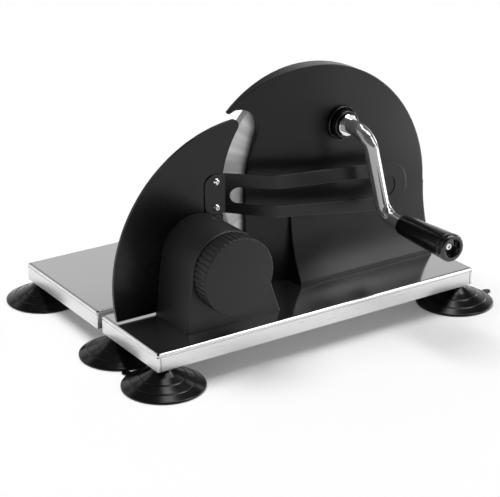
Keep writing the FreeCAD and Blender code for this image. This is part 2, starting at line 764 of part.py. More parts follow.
back_plate()
plate_screw_face = cut_y - plate_room_deep + s.back_plate_thick - blade_recess - s.gap
cover_screws = []
for count, (x, up) in enumerate(cover_posts, 1):
    cover_screws.append(turned(f"back_plate_screw_{count}", x, plate_screw_face, s.deck_high + up, [
        (0.0, -gear_room_deep + plate_room_deep), (s.small_screw_radius, -gear_room_deep + plate_room_deep),
        (s.small_screw_radius, s.running), (s.small_head_radius, s.running),
        (s.small_head_radius, s.low_head_thick), (0.0, s.low_head_thick)]))
group("back_plate_screws", cover_screws)


def base_screws(label, spots, long):
    made = []
    for count, (x, y) in enumerate(spots, 1):
        made.append(turned(f"{label}_{count}", x, y, under_deck - s.small_head_thick,
                           screw_profile(s.small_screw_radius, long, s.small_head_radius, s.small_head_thick),
                           "XZ_Plane"))
    group(label, made)


base_screws("cover_base_screws", cover_screw_spots, s.sheet + s.cover_screw_bite - s.screw_spare)
base_screws("knob_housing_screws", tunnel_screw_spots, s.sheet + s.post_high - s.small_head_thick)


# ---------------------------------------------------------------- blade and gears
def involute(angle):
    return math.tan(angle) - angle


def gear_face(teeth, module, backlash):
    """A spur gear's outline with 20 degree involute flanks, tooth tip first on +X."""
    pitch = module * teeth / 2
    base = pitch * math.cos(math.radians(20))
    tip, foot = pitch + module, pitch - 1.25 * module
    half_pitch = (math.pi * module / 2 - backlash) / (2 * pitch) + involute(math.radians(20))
    start = max(base, foot)
    radii = [start + (tip - start) * step / 4 for step in range(5)]
    flank = [(foot, half_pitch)] + [(r, half_pitch - involute(math.acos(min(base / r, 1.0)))) for r in radii]
    points = []
    for tooth in range(teeth):
        middle = 2 * math.pi * tooth / teeth
        for radius, half in flank:
            points.append(Vector(radius * math.cos(middle - half), radius * math.sin(middle - half), 0))
        for radius, half in reversed(flank):
            points.append(Vector(radius * math.cos(middle + half), radius * math.sin(middle + half), 0))
    return Part.Face(Part.makePolygon(points + points[:1]))


def gear(label, teeth, x, y, up, turned_by, extra, taps=()):
    """A spur gear across the machine's y axis.  Extra is (outer radius, start, end) of hubs, bore last."""
    blank = gear_face(teeth, s.module.value, s.backlash.value).extrude(Vector(0, 0, s.gear_wide.value))
    *hubs, bore = extra
    for radius, start, end in hubs:
        blank = blank.fuse(Part.makeCylinder(radius, end - start, Vector(0, 0, start)))
    radius, start, end = bore
    blank = blank.cut(Part.makeCylinder(radius, end - start, Vector(0, 0, start)))
    stand = Placement(Vector(), Rotation(Vector(1, 0, 0), -90))
    spin = Placement(Vector(), Rotation(Vector(0, 1, 0), turned_by))
    blank = blank.transformed(spin.multiply(stand).toMatrix())
    for across, over in taps:
        tap = Part.makeCylinder(s.small_screw_radius.value + s.running.value, gear_room_deep.value,
                                Vector(across, s.gear_wide.value, over), Vector(0, 1, 0))
        blank = blank.cut(tap)
    made = doc.addObject("Part::Feature", label)
    made.Label = label
    made.Shape = blank
    place(made, x, y, s.deck_high + up)
    return keep(made)


gear_front_y = cut_y - gear_room_deep + s.gap
hub_end_y = cut_y - s.blade_thick
half_tooth = 180.0 / PINION_TEETH
gear("crank_gear", CRANK_TEETH, crank_x, gear_front_y, crank_up, -s.drive_lean.value + 180.0,
     [(s.shaft_radius.value + s.running.value, -s.gap.value, 2 * s.gear_wide.value)])
hub_long = number(hub_end_y - gear_front_y)
hub_taps = [(s.hub_screw_circle * cosine_of, s.hub_screw_circle * sine_of) for cosine_of, sine_of in
            ((math.cos(math.radians(turn_by)), math.sin(math.radians(turn_by))) for turn_by in (0, 120, 240))]
gear("blade_pinion", PINION_TEETH, blade_x, gear_front_y, blade_up, -s.drive_lean.value + half_tooth,
     [(s.hub_radius.value, s.gear_wide.value, hub_long),
      (s.axle_radius.value + s.bush_wall.value + s.running.value, -s.gap.value, hub_long + s.gap.value)],
     [(across.value, over.value) for across, over in hub_taps])

blade = new_body("blade", blade_x, cut_y, s.deck_high + blade_up)
bevel = 3.5 * s.blade_thick
turn(blade, outline(new_sketch(blade, "XY_Plane"), [
    (s.axle_radius + s.bush_wall + s.gap, 0.0), (s.blade_radius, 0.0), (s.blade_radius, -s.blade_thick / 4),
    (s.blade_radius - bevel, -s.blade_thick), (s.axle_radius + s.bush_wall + s.gap, -s.blade_thick)]))
screw_hole = circle(new_sketch(blade, "XZ_Plane"), s.hub_screw_circle, 0.0, s.small_screw_radius + s.clearance / 2)
ring_of(blade, pocket(blade, screw_hole, 2 * s.blade_thick, True), 3, "Y_Axis")
keep(blade)

keep(turned("blade_bush", blade_x, gear_front_y, s.deck_high + blade_up,
            ring_profile(s.axle_radius + s.running, s.axle_radius + s.bush_wall, 0.0, hub_end_y - gear_front_y)))
axle_start = cut_y - gear_room_deep - s.cover_wall + s.gap
keep(turned("blade_axle", blade_x, axle_start, s.deck_high + blade_up,
            rod_profile(s.axle_radius, 0.0, cut_y - axle_start + 2 * s.sheet)))
cap_bottom = cut_y + s.clearance
keep(turned("blade_nut", blade_x, cap_bottom, s.deck_high + blade_up, [
    (s.axle_radius + s.running, 0.0), (s.hub_radius - s.clearance, 0.0), (s.hub_radius - s.clearance, s.sheet / 2),
    (s.axle_radius + s.bush_wall, 3 * s.sheet), (0.0, 3 * s.sheet), (0.0, 2 * s.sheet - s.clearance + s.running),
    (s.axle_radius + s.running, 2 * s.sheet - s.clearance + s.running)]))
blade_screws = []
for count, (across, over) in enumerate(hub_taps, 1):
    blade_screws.append(turned(f"blade_screw_{count}", blade_x + across, cut_y, s.deck_high + blade_up + over,
                               rod_profile(s.small_screw_radius, -s.gear_wide, -s.running)))
group("blade_screws", blade_screws)


# ---------------------------------------------------------------- crank
def lathe_at_crank(label, y, profile):
    return keep(turned(label, crank_x, y, s.deck_high + crank_up, profile))


bush_out = s.collar_out
lathe_at_crank("crank_bearing", cover_front_y, [
    (s.shaft_radius + s.running, -bush_out), (s.collar_step_radius - s.gap, -bush_out),
    (s.collar_step_radius, -bush_out + s.gap), (s.collar_step_radius, -bush_out / 3),
    (s.collar_step_radius + s.gap, -bush_out / 4), (s.collar_radius - 2 * s.gap, -bush_out / 4),
    (s.collar_radius, -bush_out / 8), (s.collar_radius, 0.0),
    (s.shaft_radius + s.bush_wall, 0.0), (s.shaft_radius + s.bush_wall, s.cover_deep - gear_room_deep),
    (s.shaft_radius + s.running, s.cover_deep - gear_room_deep)])
lathe_at_crank("crank_washer", cover_front_y - s.collar_out - s.running, [
    (s.shaft_radius + s.running, 0.0), (s.washer_radius, 0.0), (s.washer_radius, -s.washer_thick + s.gap),
    (s.washer_radius - s.gap, -s.washer_thick), (s.shaft_radius + s.running, -s.washer_thick)])
shoulder_y = cover_front_y - s.collar_out - s.running - s.washer_thick
gear_rear_y = gear_front_y + s.gear_wide


def crank_arm():
    """One bent bar: shoulder at the washer, throw, and a turned spindle that carries the grip."""
    body = new_body("crank_arm", crank_x, arm_y, s.deck_high + crank_up, Vector(0, -1, 0), s.crank_tilt)
    path = new_sketch(body, "YZ_Plane")
    long = shoulder_y - arm_y
    bend = s.crank_bend
    points = [(long, 0.0), (bend, 0.0), (0.0, -bend), (0.0, -s.crank_throw + bend), (-bend, -s.crank_throw),
              (-s.grip_gap, -s.crank_throw)]
    ends = []
    for index in range(len(points) - 1):
        start, end = (Vector(number(y), number(z), 0) for y, z in points[index:index + 2])
        if index == 1:
            edge, swapped = arc_between(start, end, number(bend))
        elif index == 3:
            edge, swapped = arc_between(start, end, -number(bend))
        else:
            edge, swapped = Part.LineSegment(start, end), False
        geometry = path.addGeometry(edge)
        ends.append((geometry, 2, 1) if swapped else (geometry, 1, 2))
    for (geometry, first, last), (y, z) in zip(ends, points):
        dimension(path, "DistanceX", (geometry, first), y)
        dimension(path, "DistanceY", (geometry, first), z)
    geometry, first, last = ends[-1]
    dimension(path, "DistanceX", (geometry, last), points[-1][0])
    dimension(path, "DistanceY", (geometry, last), points[-1][1])
    for before, after in zip(ends, ends[1:]):
        path.addConstraint(Sketcher.Constraint("Coincident", before[0], before[2], after[0], after[1]))
    for index in (1, 3):
        dimension(path, "Radius", (ends[index][0],), bend)
    section = circle(new_sketch(body, "XZ_Plane", -long), 0.0, 0.0, s.crank_radius)
    pipe = body.newObject("PartDesign::AdditivePipe", "crank_arm_pipe")
    pipe.Profile = section
    pipe.Spine = (path, [])
    shaft = circle(new_sketch(body, "XZ_Plane", -long), 0.0, 0.0, s.shaft_radius)
    pad(body, shaft, gear_rear_y - shoulder_y, True)
    nose = circle(new_sketch(body, "XZ_Plane", arm_y - gear_rear_y), 0.0, 0.0, s.shaft_nose_radius)
    nose_long = cut_y - plate_room_deep + s.back_plate_thick - blade_recess - gear_rear_y
    pad(body, nose, nose_long, True)
    spindle = circle(new_sketch(body, "XZ_Plane", s.grip_gap), 0.0, -s.crank_throw, s.spindle_radius)
    pad(body, spindle, s.grip_long - s.grip_recess_deep)
    tapped = circle(new_sketch(body, "XZ_Plane", s.grip_gap + s.grip_long - s.grip_recess_deep),
                    0.0, -s.crank_throw, s.small_screw_radius + s.running)
    pocket(body, tapped, s.grip_tap_deep)
    return keep(body)


crank_arm()


def lathe_at_grip(label, y, profile):
    return keep(turned(label, grip_x, y, s.deck_high + grip_up, profile))


recess_y = s.grip_long - s.grip_recess_deep
lathe_at_grip("crank_grip", grip_start_y - s.clearance, [
    (s.spindle_radius + s.running, 0.0), (s.spindle_radius + s.running, -recess_y + s.clearance),
    (s.grip_recess_radius, -recess_y + s.clearance), (s.grip_recess_radius, -s.grip_long + s.clearance),
    (s.grip_far_radius - 3 * s.gap, -s.grip_long + s.clearance),
    (s.grip_far_radius, -s.grip_long + s.clearance + 3 * s.gap),
    (s.grip_far_radius, -s.grip_long + s.clearance + 6 * s.gap),
    (s.grip_far_radius - s.gap, -s.grip_long + s.clearance + 7 * s.gap),
    (s.grip_near_radius, -3 * s.gap), (s.grip_near_radius - 3 * s.gap, 0.0)])
lathe_at_grip("grip_washer", grip_start_y - recess_y, ring_profile(
    s.small_screw_radius + s.running, s.grip_recess_radius - 2 * s.gap, -s.sheet, -s.running))
grip_screw_y = grip_start_y - recess_y - s.sheet
lathe_at_grip("grip_screw", grip_screw_y, [
    (0.0, s.grip_screw_long), (s.small_screw_radius, s.grip_screw_long), (s.small_screw_radius, -s.running),
    (s.small_head_radius + s.gap, -s.running), (s.small_head_radius + s.gap, -s.small_head_thick / 2),
    (s.small_head_radius - s.gap, -s.small_head_thick), (s.small_screw_radius, -s.small_head_thick),
    (s.small_screw_radius * 0.9, -s.small_head_thick / 2), (0.0, -s.small_head_thick / 2)])


# ---------------------------------------------------------------- thickness plate
def stop_plate():
    body = new_body("stop_plate", 0.0 * cut_y, plate_rear_y, s.deck_high)
    arc_radius = s.blade_radius + s.plate_blade_gap
    corner_x, corner_up = crossing(plate_curve_x, s.plate_curve_up, plate_curve_radius,
                                   blade_x, blade_up, arc_radius, 1)
    edge_up = blade_up + half_chord(arc_radius, blade_x - plate_edge_x)
    left_x = plate_curve_x - half_chord(plate_curve_radius, s.plate_curve_up - s.plate_hover)
    face = [
        (left_x, s.plate_hover), (plate_edge_x, s.plate_hover), (plate_edge_x, edge_up, -arc_radius),
        (corner_x, corner_up, plate_curve_radius),
        (plate_curve_x - plate_curve_radius, s.plate_curve_up, plate_curve_radius),
    ]
    pad(body, outline(new_sketch(body, "XZ_Plane"), face), s.plate_thick)
    tip = Vector(corner_x.value, 0, corner_up.value)

    def at_tip(edge):
        middle = edge.valueAt((edge.FirstParameter + edge.LastParameter) / 2)
        return abs(middle.x - tip.x) < 1e-3 and abs(middle.z - tip.z) < 1e-3

    round_edges(body, s.plate_tip_radius, at_tip)
    left = plate_edge_x - s.guide_tab_long
    recess = outline(new_sketch(body, "XZ_Plane", s.plate_thick), tab_outline(left, plate_edge_x + s.gap, s.guide_recess_gap))
    pocket(body, recess, s.guide_sheet)
    for x, up in guide_screw_spots:
        hole = circle(new_sketch(body, "XZ_Plane", s.plate_thick), x, up, s.small_screw_radius + s.clearance / 2)
        pocket(body, hole, s.plate_thick + s.gap)
    for x, up in carriage_screw_spots:
        hole = circle(new_sketch(body, "XZ_Plane", s.plate_thick), x, up, s.small_screw_radius + s.clearance / 2)
        pocket(body, hole, s.plate_thick + s.gap)
        head = circle(new_sketch(body, "XZ_Plane"), x, up, s.small_head_radius + s.clearance / 2)
        pocket(body, head, s.plate_thick / 2, True)
    return keep(body)


def tab_outline(left, right, around):
    """The guide's tab, rounded at its two left corners, grown by a gap for the recess it lies in."""
    low, high = s.guide_tab_bottom - around, s.guide_tab_top + around
    start, corner = left - around, s.guide_tab_corner
    return [(start + corner, low), (right, low), (right, high), (start + corner, high, corner),
            (start, high - corner), (start, low + corner, corner)]


guide_middle = (s.guide_tab_bottom + s.guide_tab_top) / 2
guide_screw_spots = [(plate_edge_x - s.guide_screw_inset, guide_middle + s.guide_screw_apart / 2 * sign)
                     for sign in (-1, 1)]
carriage_screw_spots = [(knob_x + s.plate_screw_x * across, s.knob_up + s.plate_screw_up * over)
                        for across in (-1, 1) for over in (-1, 1)]
stop_plate()


def slice_guide():
    """Slotted strap: a plan shape bent from sheet, trimmed to its side view."""
    fold, bend, sheet_t = s.guide_fold, s.guide_bend, s.guide_sheet
    lean_sine, lean_cosine = sine(s.guide_lean), cosine(s.guide_lean)
    start_x = plate_edge_x + 2 * s.gap
    straight = (s.guide_reach - (fold + bend + sheet_t) * (1 - lean_cosine)) / lean_sine
    left = plate_edge_x - s.guide_tab_long
    right = guide_end_x + s.guide_end_radius + s.gap
    front = [(start_x + fold * lean_sine, -fold * (1 - lean_cosine))]
    front.append((front[0][0] + straight * lean_cosine, front[0][1] - straight * lean_sine))
    front.append((front[1][0] + (bend + sheet_t) * lean_sine, -s.guide_reach))
    rear = [(front[2][0], sheet_t - s.guide_reach)]
    rear.append((front[1][0] + sheet_t * lean_sine, front[1][1] + sheet_t * lean_cosine))
    rear.append((front[0][0] + sheet_t * lean_sine, front[0][1] + sheet_t * lean_cosine))
    body = new_body("slice_guide", 0.0 * cut_y, plate_front_y, s.deck_high)
    plan = outline(new_sketch(body, "XY_Plane"), [
        (left, 0.0), (start_x, 0.0, -fold), front[0], (*front[1], bend + sheet_t), front[2],
        (right, -s.guide_reach), (right, sheet_t - s.guide_reach), (*rear[0], -bend), rear[1],
        (*rear[2], fold + sheet_t), (start_x, sheet_t), (left, sheet_t)])
    pad(body, plan, s.guide_tab_top + s.gap)
    end = (guide_end_x, s.guide_end_up, s.guide_end_radius)
    none = 0.0 * s.sheet
    low_corner, low_end = belt(plate_edge_x, s.guide_tab_bottom, none, *end, -1)
    high_corner, high_end = belt(plate_edge_x, s.guide_tab_top, none, *end, 1)
    corner = s.guide_tab_corner
    low, high = s.guide_tab_bottom, s.guide_tab_top
    side_view = [(left + corner, low), (plate_edge_x, low), (*low_end, s.guide_end_radius),
                 (guide_end_x + s.guide_end_radius, s.guide_end_up, s.guide_end_radius), high_end,
                 (plate_edge_x, high), (left + corner, high, corner), (left, high - corner),
                 (left, low + corner, corner)]
    frame_low, frame_high = -s.gap, s.guide_tab_top + 2 * s.gap
    trim = new_sketch(body, "XZ_Plane", s.guide_reach + s.gap)
    rectangle(trim, left - s.gap, frame_low, right + s.gap, frame_high)
    outline(trim, side_view)
    pocket(body, trim, s.guide_reach + s.guide_sheet + 2 * s.gap)
    first = (slot_start_x, s.slot_start_up, s.slot_start_radius)
    last = (guide_end_x, s.guide_end_up, s.slot_end_radius)
    slot_low = belt(*first, *last, -1)
    slot_high = belt(*first, *last, 1)
    slot = outline(new_sketch(body, "XZ_Plane", s.guide_reach + s.gap), [
        slot_low[0], (*slot_low[1], s.slot_end_radius),
        (guide_end_x + s.slot_end_radius, s.guide_end_up, s.slot_end_radius), slot_high[1],
        (*slot_high[0], s.slot_start_radius),
        (slot_start_x - s.slot_start_radius, s.slot_start_up, s.slot_start_radius)])
    pocket(body, slot, s.guide_reach + s.guide_sheet + 2 * s.gap)
    for x, up in guide_screw_spots:
        hole = circle(new_sketch(body, "XZ_Plane", s.gap), x, up, s.small_screw_radius + s.clearance / 2)
        pocket(body, hole, s.guide_sheet + 2 * s.gap)
    return keep(body)


slice_guide()
guide_screws = []
for count, (x, up) in enumerate(guide_screw_spots, 1):
    head, thick = s.guide_screw_head, s.small_head_thick
    guide_screws.append(turned(f"guide_screw_{count}", x, plate_front_y, s.deck_high + up, [
        (0.0, s.plate_thick), (s.small_screw_radius, s.plate_thick), (s.small_screw_radius, -s.running),
        (head, -s.running), (head, -thick / 4), (head * 0.8, -thick * 0.7), (head * 0.5, -thick),
        (head * 0.35, -thick), (head * 0.35, -thick / 2), (0.0, -thick / 2)]))
group("guide_screws", guide_screws)
carriage_screws = []
for count, (x, up) in enumerate(carriage_screw_spots, 1):
    carriage_screws.append(turned(f"carriage_screw_{count}", x, plate_rear_y, s.deck_high + up, [
        (0.0, -s.gap / 2), (s.small_head_radius, -s.gap / 2), (s.small_head_radius, -s.plate_thick / 2 + s.running),
        (s.small_screw_radius, -s.plate_thick / 2 + s.running), (s.small_screw_radius, -s.carriage_screw_long),
        (0.0, -s.carriage_screw_long)]))
group("stop_plate_screws", carriage_screws)


# ---------------------------------------------------------------- knob housing
def knob_housing():
    """Arched tunnel whose legs run straight down from the arch to the tray."""
    body = new_body("knob_housing", 0.0 * cut_y, tunnel_rear_y, s.deck_high)
    deep = tunnel_rear_y - tunnel_front_y
    none = 0.0 * s.sheet

    def arch(inset):
        radius = s.tunnel_arch_radius - inset
        left_x, right_x = tunnel_left_x + inset, tunnel_right_x - inset
        top = (knob_x, s.knob_up, radius)
        left = belt(left_x, none, none, *top, 1)[1]
        right = belt(right_x, none, none, *top, -1)[1]
        return [(left_x, 0.0), (right_x, 0.0), (*right, radius), (knob_x, s.knob_up + radius, radius), left]

    pad(body, outline(new_sketch(body, "XZ_Plane"), arch(0.0 * s.sheet)), deep)
    front = -deep.value
    round_edges(body, s.tunnel_edge, lambda edge: abs(edge.BoundBox.YMin - front) < 1e-4
                and abs(edge.BoundBox.YMax - front) < 1e-4 and edge.BoundBox.ZMax > 1)
    pocket(body, outline(new_sketch(body, "XZ_Plane"), arch(s.tunnel_wall)),
           deep - s.tunnel_front_wall, True)
    journal = circle(new_sketch(body, "XZ_Plane", deep + s.gap), knob_x, s.knob_up, s.journal_radius + s.running)
    pocket(body, journal, s.tunnel_front_wall + 2 * s.gap)
    inner_front = deep - s.tunnel_front_wall
    for sign in (-1, 1):
        x = knob_x + s.rod_apart / 2 * sign
        boss = circle(new_sketch(body, "XZ_Plane", inner_front - s.rod_boss_long), x, s.knob_up,
                      2 * s.rod_radius)
        pad(body, boss, s.rod_boss_long + s.tunnel_front_wall / 2)
        socket = circle(new_sketch(body, "XZ_Plane", inner_front - s.rod_boss_long - s.gap), x, s.knob_up,
                        s.rod_radius + s.running)
        pocket(body, socket, s.rod_boss_long + s.gap, True)
    for x, y in tunnel_screw_spots:
        post = circle(new_sketch(body, "XY_Plane"), x, y - tunnel_rear_y, s.post_radius)
        pad(body, post, s.post_high)
        hole = circle(new_sketch(body, "XY_Plane", -s.gap), x, y - tunnel_rear_y,
                      s.small_screw_radius + s.clearance / 2)
        pocket(body, hole, s.post_high, True)
    return keep(body)


knob_housing()


def lathe_at_knob(label, y, profile):
    return keep(turned(label, knob_x, y, s.deck_high + s.knob_up, profile))


def thickness_knob():
    """Cup-shaped knob with a ribbed rim and a boss that is pressed on the screw's journal."""
    body = new_body("thickness_knob", knob_x, knob_rear_y, s.deck_high + s.knob_up)
    deep, wall = s.knob_deep, s.knob_wall
    journal_end = deep - 2 * wall
    turn(body, outline(new_sketch(body, "XY_Plane"), [
        (0.0, -deep), (s.knob_radius - s.gap, -deep), (s.knob_radius, -deep + s.gap), (s.knob_radius, 0.0),
        (s.knob_radius - wall, 0.0), (s.knob_radius - wall, -deep + wall), (s.knob_boss_radius, -deep + wall),
        (s.knob_boss_radius, 0.0), (s.journal_radius + s.running, 0.0),
        (s.journal_radius + s.running, -journal_end), (0.0, -journal_end)]))
    groove = circle(new_sketch(body, "XZ_Plane", -s.gap), s.knob_radius + s.knob_rib_radius * 0.35, 0.0,
                    s.knob_rib_radius)
    ring_of(body, pocket(body, groove, deep + 2 * s.gap, True), int(sheet.get("knob_ribs")), "Y_Axis")
    return keep(body)


thickness_knob()
lathe_at_knob("knob_washer", knob_rear_y + s.running, ring_profile(
    s.journal_radius + s.running, s.knob_boss_radius, 0.0, s.knob_stand_off - 2 * s.running))
wall_inside_y = tunnel_front_y + s.tunnel_front_wall
journal_front = wall_inside_y - knob_rear_y + s.knob_deep - 2 * s.knob_wall - s.gap
lathe_at_knob("thickness_screw", wall_inside_y + s.running, [
    (0.0, -journal_front), (s.journal_radius, -journal_front), (s.journal_radius, 0.0), (s.screw_radius, 0.0),
    (s.screw_radius, s.screw_long), (0.0, s.screw_long)])


def carriage():
    """Block that the steep screw drives; it slides on two rods and carries the stop plate."""
    body = new_body("stop_carriage", knob_x, plate_front_y, s.deck_high + s.knob_up)
    wide, high = s.carriage_half_wide, s.carriage_half_high
    pad(body, rectangle(new_sketch(body, "XZ_Plane"), -wide, -high, wide, high), s.carriage_long)
    holes = [(0.0, 0.0, s.screw_radius + s.running)]
    holes += [(s.rod_apart / 2 * sign, 0.0, s.rod_radius + s.running) for sign in (-1, 1)]
    for x, up, radius in holes:
        pocket(body, circle(new_sketch(body, "XZ_Plane"), x, up, radius), s.carriage_long + s.gap, True)
    for x, up in carriage_screw_spots:
        hole = circle(new_sketch(body, "XZ_Plane"), x - knob_x, up - s.knob_up,
                      s.small_screw_radius + s.clearance / 2)
        pocket(body, hole, s.carriage_long / 2, True)
    return keep(body)


carriage()
for side, sign in (("left", -1), ("right", 1)):
    keep(turned(f"guide_rod_{side}", knob_x + s.rod_apart / 2 * sign, wall_inside_y + s.gap,
                s.deck_high + s.knob_up, rod_profile(s.rod_radius, 0.0, s.rod_long)))

# ---------------------------------------------------------------- checks and export
doc.recompute()
faulty = [item.Name for item in doc.Objects if "Invalid" in item.State or "Error" in item.State]
if faulty:
    raise RuntimeError(f"features that failed: {faulty}")
for item in doc.Objects:
    if item.TypeId in ("PartDesign::Pocket", "PartDesign::Groove"):
        if item.Shape.Volume > item.BaseFeature.Shape.Volume - 1e-3:
            raise RuntimeError(f"{item.Name} cuts nothing")
for piece in nodes:
    if piece.Shape.isNull() or not piece.Shape.isValid():
        raise RuntimeError(f"{piece.Label} has no valid shape")

os.makedirs("parts", exist_ok=True)
for piece in nodes:
    piece.Shape.exportStep(f"parts/{piece.Label}.step")
    box = piece.Shape.BoundBox
    print(f"{piece.Label:28s} solids {len(piece.Shape.Solids)}  volume {piece.Shape.Volume:10.1f}  "
          f"x {box.XMin:7.1f} {box.XMax:7.1f}  y {box.YMin:7.1f} {box.YMax:7.1f}  z {box.ZMin:6.1f} {box.ZMax:6.1f}")
print(len(nodes), "nodes")
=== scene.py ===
# %% [markdown]
# # A hand cranked bread slicer
#
# The slicer's solids come from its CAD model. This lesson dresses them: it gives each surface a finish
# made of shader nodes, remodels the pieces whose small roundings the eye looks for, and sets up a
# studio.

# %% Load the solids
import bpy
import bmesh
import json
import math
from mathutils import Matrix, Vector


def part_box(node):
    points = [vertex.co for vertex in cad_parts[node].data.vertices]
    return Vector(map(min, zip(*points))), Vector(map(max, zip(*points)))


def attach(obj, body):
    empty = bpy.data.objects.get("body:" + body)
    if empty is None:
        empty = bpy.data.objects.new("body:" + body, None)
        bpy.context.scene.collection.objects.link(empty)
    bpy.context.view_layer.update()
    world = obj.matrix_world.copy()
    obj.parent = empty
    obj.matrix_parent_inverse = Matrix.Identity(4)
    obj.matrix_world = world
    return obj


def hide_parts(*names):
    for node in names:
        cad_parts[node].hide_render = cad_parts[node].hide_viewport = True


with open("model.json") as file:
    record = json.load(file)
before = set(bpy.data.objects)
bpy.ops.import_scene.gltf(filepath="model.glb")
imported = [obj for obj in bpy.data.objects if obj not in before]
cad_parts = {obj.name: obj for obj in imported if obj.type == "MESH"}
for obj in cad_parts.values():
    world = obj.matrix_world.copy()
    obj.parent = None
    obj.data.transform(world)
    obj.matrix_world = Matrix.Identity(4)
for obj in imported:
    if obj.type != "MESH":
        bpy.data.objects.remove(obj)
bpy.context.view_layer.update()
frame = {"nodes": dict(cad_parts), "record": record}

# %% [markdown]
# ## Where things are
#
# The machine's own sizes are counted from the left front corner of its steel base, in millimetres.
# Blender counts in metres from the middle of the whole machine's box. One small function turns the first
# into the second, so that a size can be written as it would be read off a ruler.

# %% From the base's corner to Blender's axes
MM = 0.001
UP = Vector((0, 0, 1))
OUTWARD = Vector((0, -1, 0))  # from the cover towards whoever turns the crank
tray_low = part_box("front_tray")[0]


def spot(x, y, z=0.0):
    """A point counted in millimetres from the base's left front corner and from the worktop."""
    return Vector((tray_low.x + x * MM, tray_low.y + y * MM, z * MM))


def middle(node):
    """The middle of a solid's box."""
    low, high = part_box(node)
    return (low + high) / 2


print("base corner at", [round(v, 4) for v in tray_low])
print("knob at", [round(v, 4) for v in middle("thickness_knob")])

# %% [markdown]
# ## Camera
#
# A product picture is taken from a few steps away with a long lens, so that upright edges stay nearly
# parallel. The camera looks down by about 22 degrees and stands to the left of the machine's front.

# %% Camera
PICTURE_WIDE = 500
FOCAL_PIXELS = 1627.9
SENSOR_WIDE = 36.0
CAMERA_PLACE = (-534.2, -927.4, 545.2)
LOOKING_DOWN, TURNED = 21.95, -33.54
camera_data = bpy.data.cameras.new("studio_camera")
camera_data.sensor_width = SENSOR_WIDE
camera_data.lens = SENSOR_WIDE * FOCAL_PIXELS / PICTURE_WIDE
camera = bpy.data.objects.new("studio_camera", camera_data)
camera.location = spot(*CAMERA_PLACE)
camera.rotation_euler = (math.radians(90 - LOOKING_DOWN), 0.0, math.radians(TURNED))
bpy.context.scene.collection.objects.link(camera)
bpy.context.scene.camera = camera
print("lens", round(camera_data.lens, 1), "mm")

# %% [markdown]
# ## A way to write shader nodes
#
# A material is a network of small steps. Written out node by node it is long and hard to read, so a tiny
# class wraps a node's output and lets ordinary arithmetic add the Math nodes: `0.2 + grain * 0.1` is two
# nodes. Every other kind of node comes from one method, `add`.


# %% Wires that can be added and multiplied
class Wire:
    """One output of a shader node. Arithmetic on it adds Math nodes to the same recipe."""

    def __init__(self, recipe, socket):
        self.recipe = recipe
        self.socket = socket

    def math(self, operation, first, second):
        return self.recipe.math(operation, first, second)

    def __add__(self, other):
        return self.math("ADD", self, other)

    def __radd__(self, other):
        return self.math("ADD", other, self)

    def __sub__(self, other):
        return self.math("SUBTRACT", self, other)

    def __rsub__(self, other):
        return self.math("SUBTRACT", other, self)

    def __mul__(self, other):
        return self.math("MULTIPLY", self, other)

    def __rmul__(self, other):
        return self.math("MULTIPLY", other, self)


